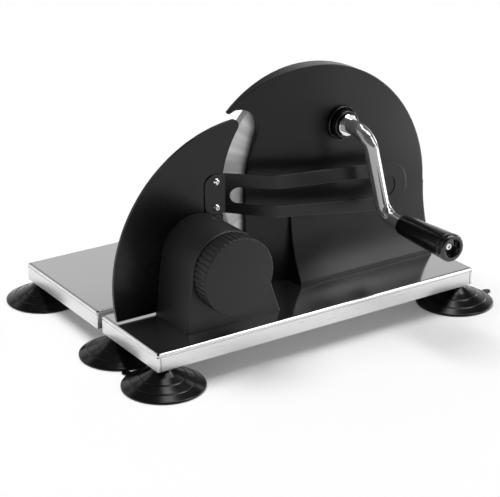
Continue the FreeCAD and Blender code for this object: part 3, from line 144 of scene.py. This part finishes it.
# %% A recipe is one material and its shader
class Recipe:
    """A material under construction, or the world."""

    def __init__(self, name, owner=None):
        self.owner = owner or bpy.data.materials.new(name)
        self.owner.use_nodes = True
        self.tree = self.owner.node_tree
        self.tree.nodes.clear()
        kind = "ShaderNodeOutputWorld" if owner else "ShaderNodeOutputMaterial"
        self.output = self.tree.nodes.new(kind)

    def add(self, kind, settings, sockets, output=0):
        """A node of a kind, its settings first, then the values or wires of its sockets."""
        node = self.tree.nodes.new(kind)
        for key, value in settings.items():
            if key == "stops":
                self.set_stops(node.color_ramp, value)
            else:
                setattr(node, key, value)
        for key, value in sockets.items():
            self.feed(node.inputs[key], value)
        return Wire(self, node.outputs[output])

    def set_stops(self, ramp, stops):
        """Grey levels at places along a ramp."""
        while len(ramp.elements) < len(stops):
            ramp.elements.new(0.5)
        for element, (place, level) in zip(ramp.elements, stops):
            element.position = place
            element.color = grey(level)

    def feed(self, socket, value):
        """Link a wire to a socket, or write a plain value in it."""
        if isinstance(value, Wire):
            self.tree.links.new(value.socket, socket)
        else:
            socket.default_value = value

    def finish(self, wire):
        """Close the recipe: the wire is what shows."""
        self.feed(self.output.inputs["Surface"], wire)
        return self.owner

    def math(self, operation, first, second):
        return self.add("ShaderNodeMath", {"operation": operation}, {0: first, 1: second})

    def coordinate(self, kind):
        """Blender's coordinates: Object is the place on the piece, Normal the way its surface faces, and
        Generated, in the world, the way a ray looks."""
        return self.add("ShaderNodeTexCoord", {}, {}, output=kind)

    def along(self, vector, axis):
        """One of a vector's three numbers."""
        return self.add("ShaderNodeSeparateXYZ", {}, {"Vector": vector}, output=axis)

    def ray(self, kind):
        """1 for rays of one kind, such as those of the camera, and 0 for all others."""
        return self.add("ShaderNodeLightPath", {}, {}, output=kind)

    def noise(self, fine, detail=2.0):
        """Noise with so many specks to the metre: one number for all ways, or three for the three axes."""
        scale = fine if isinstance(fine, tuple) else (fine, fine, fine)
        place = self.add("ShaderNodeMapping", {}, {"Vector": self.coordinate("Object"), "Scale": scale})
        sockets = {"Vector": place, "Scale": 1.0, "Detail": detail}
        return self.add("ShaderNodeTexNoise", {}, sockets, output="Fac")

    def bands(self, value, detail=2.0):
        """Noise of a single value, which draws a new band wherever the value has changed by about one."""
        sockets = {"W": value, "Scale": 1.0, "Detail": detail}
        return self.add("ShaderNodeTexNoise", {"noise_dimensions": "1D"}, sockets, output="Fac")

    def ramp(self, wire, *stops):
        """A wire's value looked up on a ramp of (place, level) stops."""
        return self.add("ShaderNodeValToRGB", {"stops": stops}, {"Fac": wire})

    def blend(self, factor, dark, light):
        """A colour between two others."""
        return self.add("ShaderNodeMix", {"data_type": "RGBA"}, {0: factor, 6: dark, 7: light}, output=2)

    def bump(self, height, depth, edge=0.0):
        """Surface relief of a depth in metres, with its sharp edges softened to a radius."""
        sockets = {"Height": height, "Distance": depth, "Strength": 1.0}
        if edge:
            sockets["Normal"] = self.add("ShaderNodeBevel", {"samples": 6}, {"Radius": edge})
        return self.add("ShaderNodeBump", {}, sockets)


def grey(value):
    """A grey of a level from 0, black, to 1, white."""
    return (value, value, value, 1.0)


# %% Finishes by name
finishes = {}


def keep_finish(name, recipe, **sockets):
    """Finish a recipe with a Principled shader and remember it under the record's slot name."""
    named = {key.replace("_", " "): value for key, value in sockets.items()}
    finishes[name] = recipe.finish(recipe.add("ShaderNodeBsdfPrincipled", {}, named))
    print(f"{name}: {len(recipe.tree.nodes)} nodes")


# %% [markdown]
# ## Brushed steel
#
# The trays are folded from sheet that was drawn past an abrasive belt, so its scratches are long and all
# run one way. Noise that is stretched some seventy times more along the tray than across it gives such
# lines. The deck is polished nearly to a mirror, the rims kept the belt's duller finish: the piece's own
# normal tells the two apart, because it points up on the deck and sideways on the rims. The same normal
# also gives the rims a much paler tint and a matte share, which is painted light on the sideways faces.


# %% Brushed steel
def brushed(name, tone, rough, stretch):
    """Steel of small parts. The stretch is the scratches in a metre along each axis."""
    steel = Recipe(name)
    lines = steel.noise(stretch, 3.0)
    clouds = steel.noise(9)
    tint = steel.blend(lines * 0.7 + clouds * 0.3, grey(tone * 0.86), grey(tone))
    keep_finish(name, steel, Base_Color=tint, Metallic=1.0,
                Roughness=rough + lines * 0.12 + clouds * 0.05, Normal=steel.bump(lines, 2e-6))


brushed("hinge_steel", tone=0.62, rough=0.30, stretch=(30, 1500, 1500))
brushed("plated_steel", tone=0.74, rough=0.16, stretch=500)

# %% Steel of the trays
sheet_steel = Recipe("brushed_steel")
facing_up = sheet_steel.along(sheet_steel.coordinate("Normal"), "Z")
deck = sheet_steel.ramp(facing_up, (0.45, 0.0), (0.95, 1.0))
scratches = sheet_steel.noise((22, 1500, 1500), 3.0)
clouds = sheet_steel.noise(11, 3.0)
# The rims' pale tint is painted light: it makes the sideways faces brighter than their reflection gives.
rim_tint_painted_pale = sheet_steel.blend(scratches * 0.6 + clouds * 0.4, grey(0.80), grey(0.95))
deck_tint = sheet_steel.blend(scratches * 0.3 + clouds * 0.7, grey(0.44), grey(0.48))
rim_rough = 0.24 + scratches * 0.12
deck_rough = 0.085 + scratches * 0.03 + clouds * 0.03
# Facing direction picks the rims' painted pale tint and lower Metallic (painted light); the deck's lower
# roughness is its real polish.
keep_finish("brushed_steel", sheet_steel, Base_Color=sheet_steel.blend(deck, rim_tint_painted_pale, deck_tint),
            Metallic=0.68 + deck * 0.285, Roughness=rim_rough + deck * (deck_rough - rim_rough),
            Normal=sheet_steel.bump(scratches, 4e-7))

# %% [markdown]
# ## Satin black
#
# The plate, the guide and the knob housing are painted, the cover is moulded. All are nearly black and
# satin: what is seen is a soft reflection of the room, broken by a fine grain. The grain is relief of a
# few thousandths of a millimetre, and handling leaves the sheen a little uneven.


# %% Satin black
def satin(name, tone, rough, grain, depth, edge, shine=0.5):
    """A plain skin by its tone, its roughness, its grains in a metre and their depth in metres, the radius
    in metres that softens its edges, and how strongly it shines."""
    skin = Recipe(name)
    grains = skin.noise(grain, 3.0)
    smears = skin.noise((18, 18, 30), 4.0)
    tint = skin.blend(smears, grey(tone * 0.8), grey(tone * 1.25))
    keep_finish(name, skin, Base_Color=tint, Roughness=rough + smears * 0.10 + grains * 0.05,
                Specular_IOR_Level=shine, Normal=skin.bump(grains, depth, edge))


satin("black_plastic", 0.0045, 0.24, 1900, 5e-6, 9e-4, 0.29)
satin("black_metal", 0.0035, 0.19, 2600, 3e-6, 4e-4, 0.34)
satin("housing_black", 0.0095, 0.42, 2300, 4e-6, 7e-4, 0.48)
satin("guide_black", 0.0045, 0.22, 2600, 3e-6, 9e-4, 0.36)
satin("gloss_black", 0.0030, 0.10, 900, 1e-6, 2e-4)
satin("grip_black", 0.0030, 0.14, 500, 2e-6, 0.0, 0.80)
satin("knob_black", 0.0100, 0.36, 1700, 6e-6, 2e-4, 0.38)
satin("knob_washer", 0.0030, 0.50, 900, 4e-6, 0.0)
satin("foot_rubber", 0.0015, 0.14, 700, 2e-6, 2e-4, 0.27)
satin("dark_screw", 0.02, 0.35, 1500, 3e-6, 2e-4)
satin("gear_plastic", 0.72, 0.45, 1200, 3e-6, 2e-4)

# %% [markdown]
# ## Chrome, brass and the ground blade
#
# Chrome is almost a mirror, so only faint smudges tell its surface. The blade was ground while it turned,
# so its lines are rings round its axle: noise of the distance from the axle draws them. Such rings catch
# the light in soft sectors, pale and dark by turns, and noise of the angle round the axle paints those
# sectors into the blade's colour as a painted reflection. The bevel behind the cutting edge, past 80.3 mm
# from the axle, is coloured darker.


# %% Chrome and brass
def mirror(name, colour, rough, metallic=1.0):
    """Polished metal with faint smudges."""
    metal = Recipe(name)
    smudge = metal.noise(60, 4.0)
    keep_finish(name, metal, Base_Color=colour, Metallic=metallic, Roughness=rough + smudge * 0.05,
                Normal=metal.bump(smudge, 4e-6))


mirror("crank_chrome", grey(0.40), rough=0.13, metallic=0.78)
mirror("polished_steel", grey(0.78), rough=0.08)
mirror("brass", (0.78, 0.56, 0.24, 1.0), rough=0.22)

# %% Ground blade
RINGS_IN_A_METRE, SECTORS_IN_A_RADIAN = 3200.0, 7.0
ground = Recipe("blade_steel")
from_axle = ground.add("ShaderNodeVectorMath", {"operation": "SUBTRACT"},
                       {0: ground.coordinate("Object"), 1: tuple(middle("blade"))})
radius = ground.add("ShaderNodeVectorMath", {"operation": "LENGTH"}, {0: from_axle}, output="Value")
rings = ground.bands(radius * RINGS_IN_A_METRE)
turned = ground.math("ARCTAN2", ground.along(from_axle, "Z"), ground.along(from_axle, "X"))
# Pale and dark sectors round the axle are a painted reflection in the blade's colour; the rings are real
# grinding lines.
sectors = ground.bands(turned * SECTORS_IN_A_RADIAN, 1.0)
sheen = ground.ramp(sectors, (0.30, 0.0), (0.70, 1.0))
tint_of_rings_and_painted_sheen = ground.blend(sheen * 0.7 + rings * 0.3, grey(0.46), grey(0.82))
# A ramp reads from 0 to 1, so it gets the radius in tenths of a metre: the bevel starts at 80.3 mm.
on_bevel = ground.ramp(radius * 10.0, (0.803, 0.0), (0.806, 1.0))
keep_finish("blade_steel", ground, Base_Color=ground.blend(on_bevel, tint_of_rings_and_painted_sheen, grey(0.36)),
            Metallic=0.62, Roughness=0.38 + rings * 0.12, Normal=ground.bump(rings, 2e-6))

# %% Give each solid its finish
OWN_FINISH = {"knob_housing": "housing_black"}
for part in frame["record"]["subparts"]:
    solid = frame["nodes"][part["node"]]
    solid.data.materials.clear()
    solid.data.materials.append(finishes[OWN_FINISH.get(part["node"], part["material_slot"])])
print(len(frame["nodes"]), "solids wear", len(finishes), "finishes")

# %% [markdown]
# ## Turned pieces
#
# Knob, cups, grip, collar and dome screws are round, so each is drawn as half of its section and spun
# round its axis, as a lathe would make it. No moulded edge is perfectly sharp: every corner of a section
# gets a small rounding, because the bright line along an edge is what tells the eye that a thing is real.

# %% A rounded section
MOST_OF_A_SIDE = 0.45


def rounded(section, radius, steps=3):
    """The section's points with each corner cut to a small curve. A corner may bring its own radius."""
    points = []
    for index, corner in enumerate(section):
        here = Vector(corner[:2])
        if index in (0, len(section) - 1):
            points.append(here)
            continue
        before = Vector(section[index - 1][:2]) - here
        after = Vector(section[index + 1][:2]) - here
        wanted = corner[2] if len(corner) > 2 else radius
        cut = min(wanted, before.length * MOST_OF_A_SIDE, after.length * MOST_OF_A_SIDE)
        start = here + before.normalized() * cut
        end = here + after.normalized() * cut
        for step in range(steps + 1):
            share = step / steps
            points.append(start * (1 - share) ** 2 + here * (2 * share * (1 - share)) + end * share ** 2)
    return points


# %% Rows of points and the faces between them
def join_rows(shape, rows):
    """Faces from each ring of points to the next. A ring of one point is a tip."""
    for low, high in zip(rows, rows[1:]):
        steps = max(len(low), len(high))
        for step in range(steps):
            after = (step + 1) % steps
            corners = [low[step % len(low)], low[after % len(low)],
                       high[after % len(high)], high[step % len(high)]]
            shape.faces.new(dict.fromkeys(corners))


# %% Spin a section
ON_AXIS = 1e-6


def spun(section, centre, along, steps=96, ripple=None):
    """A mesh from (radius, length) points in millimetres. The ripple is added to the radius by angle."""
    shape = bmesh.new()
    across = Vector((1, 0, 0))
    over = along.cross(across)
    rows = []
    for radius, length in section:
        at = centre + along * (length * MM)
        if radius < ON_AXIS:
            rows.append([shape.verts.new(at)])
            continue
        row = []
        for step in range(steps):
            angle = math.tau * step / steps
            reach = radius + (ripple(angle, radius, length) if ripple else 0.0)
            way = across * math.cos(angle) + over * math.sin(angle)
            row.append(shape.verts.new(at + way * (reach * MM)))
        rows.append(row)
    join_rows(shape, rows)
    return shape


# %% Hand a mesh over as a piece of the machine
def fit_piece(name, shape, finish, body, *nodes, sharp=38.0, inside=None):
    """Turn a bmesh into a shaded object that rides on a body and stands for CAD nodes. Punched walls may
    have a near-black finish of their own, which is painted shade."""
    bmesh.ops.recalc_face_normals(shape, faces=shape.faces)
    mesh = bpy.data.meshes.new(name)
    shape.to_mesh(mesh)
    shape.free()
    mesh.shade_smooth()
    mesh.set_sharp_from_angle(angle=math.radians(sharp))
    mesh.materials.append(finishes[finish])
    if inside:
        mesh.materials.append(finishes[inside])
    made = bpy.data.objects.new(name, mesh)
    bpy.context.scene.collection.objects.link(made)
    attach(made, body)
    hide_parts(*nodes)
    print(f"{name}: {len(mesh.polygons)} faces on {body}")


# %% [markdown]
# ## Folded trays
#
# Deck and rims are one sheet, folded down on all four sides. A fold is round outside, and the press leaves
# a fine crease below it. At each corner a small hole lets three folds meet, and a slit under it shows that
# the rims are flaps. The tray is drawn as rings: the same outline again and again, first a little further
# out and down each time, then back up inside the rims. Holes and slits are cut from it with a Boolean
# modifier, as a punch would. The punch gives the cut walls a near-black finish, painted shade in them.

# %% Section of a tray's edge
# Inset from the rim's face and height above the rim's lower edge, both in millimetres.
RIM_HIGH, SHEET, FOLD = 14.5, 1.2, 1.9
TRAY_FOLD = [(FOLD * (1 - math.sin(turn)), RIM_HIGH - FOLD * (1 - math.cos(turn)))
             for turn in map(math.radians, range(0, 91, 10))]
TRAY_CREASE = [(0.0, 12.3), (0.4, 12.05), (0.4, 11.65), (0.0, 11.4)]
TRAY_RIM = [(0.0, 0.5), (0.15, 0.1), (0.5, 0.0), (SHEET, 0.0), (SHEET, RIM_HIGH - SHEET)]
TRAY_EDGE = TRAY_FOLD + TRAY_CREASE + TRAY_RIM
print("a tray's edge has", len(TRAY_EDGE), "rings")

# %% One ring of a tray
CORNER_RADIUS, SHARPEST_CORNER = 1.1, 0.05


def tray_ring(shape, low, high, inset, height, steps=4):
    """The tray's outline at an inset and a height, with slightly rounded corners."""
    radius = max(CORNER_RADIUS - inset, SHARPEST_CORNER) * MM
    ring = []
    for right, rear, first in ((0, 0, 180), (1, 0, 270), (1, 1, 0), (0, 1, 90)):
        middle_x = (high.x - (inset * MM + radius)) if right else (low.x + inset * MM + radius)
        middle_y = (high.y - (inset * MM + radius)) if rear else (low.y + inset * MM + radius)
        for step in range(steps + 1):
            turn = math.radians(first + 90 * step / steps)
            ring.append(shape.verts.new((middle_x + radius * math.cos(turn),
                                         middle_y + radius * math.sin(turn), low.z + height * MM)))
    return ring


# %% Holes and slits at a tray's corners
# All in millimetres, counted from the tray's corner. A slit runs down from a height below the deck.
HOLE_PLACE, HOLE_RADIUS, PUNCH_LONG = 1.25, 1.1, 24
SLIT_START, SLIT_END, SLIT_BELOW_DECK, SLIT_DEEP = 2.45, 2.95, 3.2, 3


def block(shape, low, high):
    """A box between two corners, for cutting."""
    made = bmesh.ops.create_cube(shape, size=1.0)["verts"]
    for vert in made:
        vert.co = Vector((low[axis] + (vert.co[axis] + 0.5) * (high[axis] - low[axis]) for axis in range(3)))


def corner_punches(low, high):
    """A round punch and a thin one for each of a tray's corners."""
    punches = bmesh.new()
    for x, inward in ((low.x, 1), (high.x, -1)):
        for y, forward in ((low.y, 1), (high.y, -1)):
            place = Matrix.Translation((x + inward * HOLE_PLACE * MM, y + forward * HOLE_PLACE * MM, high.z))
            bmesh.ops.create_cone(punches, segments=20, radius1=HOLE_RADIUS * MM, radius2=HOLE_RADIUS * MM,
                                  depth=PUNCH_LONG * MM, cap_ends=True, matrix=place)
            start, end = sorted((x + inward * SLIT_START * MM, x + inward * SLIT_END * MM))
            near, far = sorted((y - forward * MM, y + forward * SLIT_DEEP * MM))
            block(punches, (start, near, low.z - MM), (end, far, high.z - SLIT_BELOW_DECK * MM))
    return punches


# %% Punch a shape
def punched(shape, cutter):
    """The shape without the cutter's volume, by a Boolean modifier that is applied."""
    objects = []
    # The punch carries a near-black finish onto the walls it cuts: painted shade in the holes and slits.
    for name, part, finish in (("blank", shape, "brushed_steel"), ("punch", cutter, "knob_washer")):
        bmesh.ops.recalc_face_normals(part, faces=part.faces)
        mesh = bpy.data.meshes.new(name)
        mesh.materials.append(finishes[finish])
        part.to_mesh(mesh)
        part.free()
        objects.append(bpy.data.objects.new(name, mesh))
        bpy.context.scene.collection.objects.link(objects[-1])
    blank, punch = objects
    modifier = blank.modifiers.new("punch", "BOOLEAN")
    modifier.operation = "DIFFERENCE"
    modifier.solver = "EXACT"
    modifier.material_mode = "TRANSFER"
    modifier.object = punch
    cut = bmesh.new()
    cut.from_object(blank, bpy.context.evaluated_depsgraph_get())
    bpy.data.objects.remove(blank)
    bpy.data.objects.remove(punch)
    return cut


# %% Fold both trays
def tray(name, node, body):
    """One folded and punched tray."""
    low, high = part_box(node)
    shape = bmesh.new()
    rings = [tray_ring(shape, low, high, inset, height) for inset, height in TRAY_EDGE]
    join_rows(shape, rings)
    shape.faces.new(rings[0])
    shape.faces.new(rings[-1])
    # The punched walls take the near-black finish, which is painted shade.
    fit_piece(name, punched(shape, corner_punches(low, high)), "brushed_steel", body, node, sharp=32.0,
              inside="knob_washer")


tray("front_tray_folded", "front_tray", "base")
tray("bread_table_folded", "bread_table", "table")

# %% [markdown]
# ## Thickness knob
#
# The knob is a cup with 44 ribs round its rim, for wet fingers. The ribs are waves added to the radius
# while the section is spun, narrow in the grooves and broad on the crests. They are shallower at the
# knob's front edge.

# %% Thickness knob
KNOB_RADIUS, KNOB_DEEP = 30.5, 15.0
KNOB_RIBS, GROOVE_DEEP, GROOVE_NARROW = 44, 0.85, 2.2
RIM_THICK, FRONT_EDGE, FRONT_SHARE = 1.3, 0.9, 0.55


def ribs(angle, radius, length):
    """Grooves only on the rim, shallower at the knob's front edge."""
    if radius < KNOB_RADIUS - RIM_THICK:
        return 0.0
    fade = 1.0 if length < KNOB_DEEP - FRONT_EDGE else FRONT_SHARE
    return -GROOVE_DEEP * fade * (0.5 - 0.5 * math.cos(KNOB_RIBS * angle)) ** GROOVE_NARROW


knob_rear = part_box("thickness_knob")[1].y
knob_seat = Vector((middle("thickness_knob").x, knob_rear, middle("thickness_knob").z))
knob_section = rounded([
    (4.05, 10.2), (4.05, 0), (8, 0), (8, 12.6), (28.1, 12.6), (28.1, 0), (KNOB_RADIUS, 0),
    (KNOB_RADIUS, KNOB_DEEP, 0.9), (0, KNOB_DEEP)], 0.3)
fit_piece("thickness_knob_ribbed", spun(knob_section, knob_seat, OUTWARD, KNOB_RIBS * 10, ribs),
          "knob_black", "knob", "thickness_knob", sharp=60.0)

# %% [markdown]
# ## Suction cups
#
# Each soft cup has a bead round its lip and two fine raised rings where the mould's parts met. Its tab,
# pulled with a fingertip, lets the air in. The six cups are one section, spun six times.

# %% A cup's section and the cups' places
CUP_SECTION = rounded([
    (0, 4.5), (7.8, 4.5), (25, 0), (32, 0, 0.6), (32, 1.4, 0.6), (30.7, 2.1), (26.0, 4.4), (25.4, 5.0),
    (24.6, 4.9), (18.6, 8.0), (18.0, 8.6), (17.2, 8.6), (12.4, 11.4), (8.8, 14.0), (7.8, 15.4), (7.8, 29.8),
    (0, 29.8)], 0.3)
CUP_ROWS = {"front": 9.5, "middle": 75.1, "rear": 202.3}
CUP_COLUMNS = {"left": 10.0, "right": 290.0}
TAB_TURNS = {"suction_foot_front_left": 113.0}
print("a cup's section has", len(CUP_SECTION), "points")

# %% A cup's tab
TAB_START, TAB_END, TAB_HALF, TAB_LOW, TAB_HIGH, TAB_STEPS = 28, 35.5, 3, 0.05, 1.2, 8


def tab(shape, centre, turn):
    """A flat tongue with a round end at the cup's lip."""
    out = Vector((math.cos(turn), math.sin(turn), 0))
    side = Vector((-out.y, out.x, 0))
    edge = [out * TAB_START + side * TAB_HALF, out * TAB_START - side * TAB_HALF]
    for step in range(TAB_STEPS + 1):
        swing = math.pi * (step / TAB_STEPS - 0.5)
        edge.append(out * (TAB_END + TAB_HALF * math.cos(swing)) + side * (TAB_HALF * math.sin(swing)))
    bottom, top = ([shape.verts.new(centre + point * MM + UP * (height * MM)) for point in edge]
                   for height in (TAB_LOW, TAB_HIGH))
    join_rows(shape, [bottom, top])
    shape.faces.new(top)
    shape.faces.new(list(reversed(bottom)))


# %% Set the six cups
for body, nodes in frame["record"]["behaviour"]["bodies"].items():
    for node in nodes:
        if not node.startswith("suction_foot"):
            continue
        row, column = node.split("_")[2:]
        centre = spot(CUP_COLUMNS[column], CUP_ROWS[row])
        cup = spun(CUP_SECTION, centre, UP, 120)
        tab(cup, centre, math.radians(TAB_TURNS.get(node, 0.0)))
        fit_piece(f"{node}_cup", cup, "foot_rubber", body, node, sharp=50.0)

# %% [markdown]
# ## Crank
#
# The crank is one chromed bar, bent twice. Rings of points are set along its middle line, closer together
# in the bends, and joined. Where the ring's radius jumps there is a shoulder: thin in the bearing, thick
# in the arm, thin again inside the grip.


# %% Points along a bent bar
def bent(corners, radius, steps=12):
    """The middle line through its corners, each rounded to the bend's radius."""
    line = [corners[0]]
    for before, here, after in zip(corners, corners[1:], corners[2:]):
        back, on = (before - here).normalized(), (after - here).normalized()
        half = back.angle(on) / 2
        cut = radius / math.tan(half)
        centre = here + (back + on).normalized() * (radius / math.sin(half))
        start, end = here + back * cut - centre, here + on * cut - centre
        for step in range(steps + 1):
            line.append(centre + start.slerp(end, step / steps) * radius)
    return line + [corners[-1]]


# %% A tube with its own radius at each station
def tube(stations, steps=48):
    """A closed round bar through (point, radius) stations."""
    shape = bmesh.new()
    rows = []
    side = Vector((1, 0, 0))
    for index, (point, radius) in enumerate(stations):
        before = stations[max(index - 1, 0)][0]
        after = stations[min(index + 1, len(stations) - 1)][0]
        way = (after - before).normalized()
        side = (side - way * side.dot(way)).normalized()
        over = way.cross(side)
        turns = [math.tau * step / steps for step in range(steps)]
        rows.append([shape.verts.new(point + (side * math.cos(turn) + over * math.sin(turn)) * radius)
                     for turn in turns])
    join_rows(shape, rows)
    shape.faces.new(rows[0])
    shape.faces.new(rows[-1])
    return shape


# %% Crank arm
THIN, SHAFT, ARM, BEND = 4.0 * MM, 5.0 * MM, 6.0 * MM, 14 * MM  # radii
NOSE_LONG, SPINDLE_SHORT, GRIP_GAP, SHOULDER = 2.4 * MM, 8 * MM, 0.3 * MM, 0.01 * MM
ARM_FROM_FRONT = 25.7
hub = middle("crank_washer")
hold = middle("crank_grip")
washer_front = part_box("crank_washer")[0].y
gear_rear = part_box("crank_gear")[1].y
grip_low, grip_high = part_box("crank_grip")
arm_y = spot(0, ARM_FROM_FRONT).y


def on_shaft(y):
    """A point on the axis that the crank turns about."""
    return Vector((hub.x, y, hub.z))


def on_spindle(y):
    """A point on the axis that the grip turns about."""
    return Vector((hold.x, y, hold.z))


line = bent([on_shaft(washer_front), on_shaft(arm_y), on_spindle(arm_y), on_spindle(grip_high.y + GRIP_GAP)],
            BEND)
stations = [(on_shaft(gear_rear + NOSE_LONG), THIN), (on_shaft(gear_rear), THIN),
            (on_shaft(gear_rear - SHOULDER), SHAFT), (on_shaft(washer_front + SHOULDER), SHAFT)]
stations += [(point, ARM) for point in line]
stations += [(line[-1] + OUTWARD * SHOULDER, THIN), (on_spindle(grip_low.y + SPINDLE_SHORT), THIN)]
fit_piece("crank_arm_bent_bar", tube(stations), "crank_chrome", "crank", "crank_arm")

# %% [markdown]
# ## Grip, collar and dome screws
#
# The grip swells gently towards its outer end and stops in a fine groove and a round lip. A deep recess in
# its end hides the screw. The collar is the black bearing that the crank's shaft turns in. Two dome screws
# with a socket each hold the guide.

# %% Grip
grip_section = rounded([
    (4.05, 0), (7.6, 0, 1.0), (8.2, 1.4), (8.9, 14), (9.9, 34), (10.6, 52), (10.65, 54.4), (10.35, 54.7),
    (10.35, 55.1), (10.95, 55.5), (11.0, 59.4, 0.6), (10.0, 60.9, 0.8), (7.4, 60.9, 0.4), (7.2, 53.0),
    (4.05, 53.0), (4.05, 0)], 0.25)
fit_piece("crank_grip_turned", spun(grip_section, on_spindle(grip_high.y), OUTWARD), "grip_black",
          "grip", "crank_grip", sharp=45.0)

# %% Collar
PLATE_FROM_FRONT = 61
collar_seat = on_shaft(spot(0, PLATE_FROM_FRONT).y)
collar_section = rounded([
    (5.05, -4.4), (6.5, -4.4), (6.5, 0), (14.0, 0), (14.0, 3.2, 0.9), (12.7, 3.2, 0.7), (12.4, 0.6),
    (11.6, 0.6), (11.5, 8.4, 0.9), (10.0, 8.6, 0.6), (9.7, 7.7), (5.05, 7.7), (5.05, -4.4)], 0.3)
fit_piece("crank_collar", spun(collar_section, collar_seat, OUTWARD), "gloss_black", "base",
          "crank_bearing", sharp=45.0)

# %% Dome screws
DOME_RADIUS, DOME_HIGH = 2.9, 1.8
screw_low, screw_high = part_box("guide_screws")
dome_section = rounded([
    (0, 0.7), (0.95, 0.7), (0.95, DOME_HIGH), (1.5, DOME_HIGH, 0.4), (2.4, 1.25, 0.6), (DOME_RADIUS, 0.35),
    (DOME_RADIUS, 0.0), (0, 0.0)], 0.15)
domes = bmesh.new()
for height in (screw_low.z + DOME_RADIUS * MM, screw_high.z - DOME_RADIUS * MM):
    seat = Vector(((screw_low.x + screw_high.x) / 2, screw_low.y + DOME_HIGH * MM, height))
    one = spun(dome_section, seat, OUTWARD, 48)
    mesh = bpy.data.meshes.new("dome")
    one.to_mesh(mesh)
    one.free()
    domes.from_mesh(mesh)
    bpy.data.meshes.remove(mesh)
fit_piece("guide_screw_domes", domes, "polished_steel", "stop", "guide_screws", sharp=50.0)

# %% [markdown]
# ## Studio
#
# The machine stands on a white sweep. A large soft sun nearly overhead and an even sky light it, so that
# the shadow gathers right under the tray. Black and polished things show mostly what they mirror, so the
# room that reflections see is drawn with care: pale low down, dark higher up and in front, and a few
# softboxes. Two hang above, for the cups and for the crank's bend. Four stand at the right, one under
# another, and draw the bright lines along folded and rounded edges. One is behind at the left. A low strip
# gives the crank's arm its white band.


# %% Floor
def flat_plane(name, half, height):
    """A square sheet, with half its side and its height in metres."""
    mesh = bpy.data.meshes.new(name)
    corners = [(-half, -half, height), (half, -half, height), (half, half, height), (-half, half, height)]
    mesh.from_pydata(corners, [], [(0, 1, 2, 3)])
    plane = bpy.data.objects.new(name, mesh)
    bpy.context.scene.collection.objects.link(plane)
    return plane


def seen_directly(recipe):
    """1 where the camera looks straight, or by a mirror or through glass."""
    direct = recipe.math("MAXIMUM", recipe.ray("Is Camera Ray"), recipe.ray("Is Glossy Ray"))
    return recipe.math("MAXIMUM", direct, recipe.ray("Is Transmission Ray"))


floor = flat_plane("studio_floor", half=6.0, height=-0.0002)
paper = Recipe("studio_paper")
matt = paper.add("ShaderNodeBsdfDiffuse", {}, {"Color": grey(0.92)})
glow = paper.add("ShaderNodeEmission", {}, {"Color": grey(1.0), "Strength": 0.09})
none = paper.add("ShaderNodeEmission", {}, {"Color": grey(0.0)})
extra = paper.add("ShaderNodeMixShader", {}, {0: seen_directly(paper), 1: none, 2: glow})
floor.data.materials.append(paper.finish(paper.add("ShaderNodeAddShader", {}, {0: matt, 1: extra})))
print("floor of", len(paper.tree.nodes), "nodes")

# %% World
world = bpy.data.worlds.new("studio_world")
bpy.context.scene.world = world
sky = Recipe("studio_world", world)
direction = sky.coordinate("Generated")
heights = sky.ramp(sky.along(direction, "Z"),
                   (0.0, 0.94), (0.42, 0.90), (0.50, 0.24), (0.75, 0.12), (1.0, 0.20))
sides = sky.ramp(sky.along(direction, "Y") * 0.5 + 0.5, (0.32, 0.16), (0.62, 1.0))
mirrored = sky.add("ShaderNodeBackground", {}, {"Color": heights * sides, "Strength": 1.0})
even = sky.add("ShaderNodeBackground", {}, {"Color": grey(0.28), "Strength": 1.0})
white = sky.add("ShaderNodeBackground", {}, {"Color": grey(1.0), "Strength": 1.0})
lit = sky.add("ShaderNodeMixShader", {}, {0: sky.ray("Is Glossy Ray"), 1: even, 2: mirrored})
sky.finish(sky.add("ShaderNodeMixShader", {}, {0: sky.ray("Is Camera Ray"), 1: lit, 2: white}))
print("sky of", len(sky.tree.nodes), "nodes")

# %% Hang a lamp
AIM = Vector((0.0, 0.0, 0.1))


def lamp_at(name, lamp, toward, distance):
    """Hang a lamp in a direction from the machine's middle, aimed at it and not seen itself."""
    stand = bpy.data.objects.new(name, lamp)
    stand.location = AIM + Vector(toward).normalized() * distance
    stand.rotation_euler = (AIM - stand.location).to_track_quat("-Z", "Y").to_euler()
    stand.visible_camera = False
    bpy.context.scene.collection.objects.link(stand)
    return stand


# %% Sun
SUN_STRENGTH, SUN_WIDE = 0.74, 40
sun = bpy.data.lights.new("soft_sun", "SUN")
sun.energy = math.pi * SUN_STRENGTH
sun.angle = math.radians(SUN_WIDE)
lamp_at("soft_sun", sun, toward=(-0.16, 0.22, 0.96), distance=3.0).visible_glossy = False
print(f"soft_sun: {sun.energy:.2f}")


# %% Softboxes
def softbox(name, toward, distance, size, glow):
    """A rectangular lamp for reflections alone. Its glow is what a mirror sees of it."""
    lamp = bpy.data.lights.new(name, "AREA")
    lamp.shape = "RECTANGLE"
    lamp.size, lamp.size_y = size
    lamp.energy = glow * math.pi * size[0] * size[1]
    lamp_at(name, lamp, toward, distance).visible_diffuse = False
    print(f"{name}: {lamp.energy:.1f} W")


softbox("top_softbox", (0.28, 0.24, 0.93), 1.6, (0.28, 0.9), 5.5)
softbox("overhead_softbox", (0.14, -0.22, 0.97), 1.6, (0.45, 1.2), 4.0)
softbox("right_softbox", (0.48, -0.36, 0.80), 1.8, (0.6, 0.5), 9.0)
softbox("shoulder_softbox", (0.58, -0.68, 0.45), 1.8, (0.45, 0.9), 6.5)
softbox("side_softbox", (0.80, -0.58, 0.10), 1.6, (0.3, 0.55), 5.0)
softbox("edge_softbox", (0.98, 0.12, 0.12), 1.6, (0.35, 0.35), 6.0)
softbox("rear_softbox", (-0.3, 0.75, 0.58), 2.0, (0.5, 0.35), 1.2)
softbox("low_strip", (0.85, -0.35, -0.16), 0.42, (0.18, 0.14), 7.0)

# %% Show colours as they are written
bpy.context.scene.view_settings.view_transform = "Standard"
print("view transform:", bpy.context.scene.view_settings.view_transform)
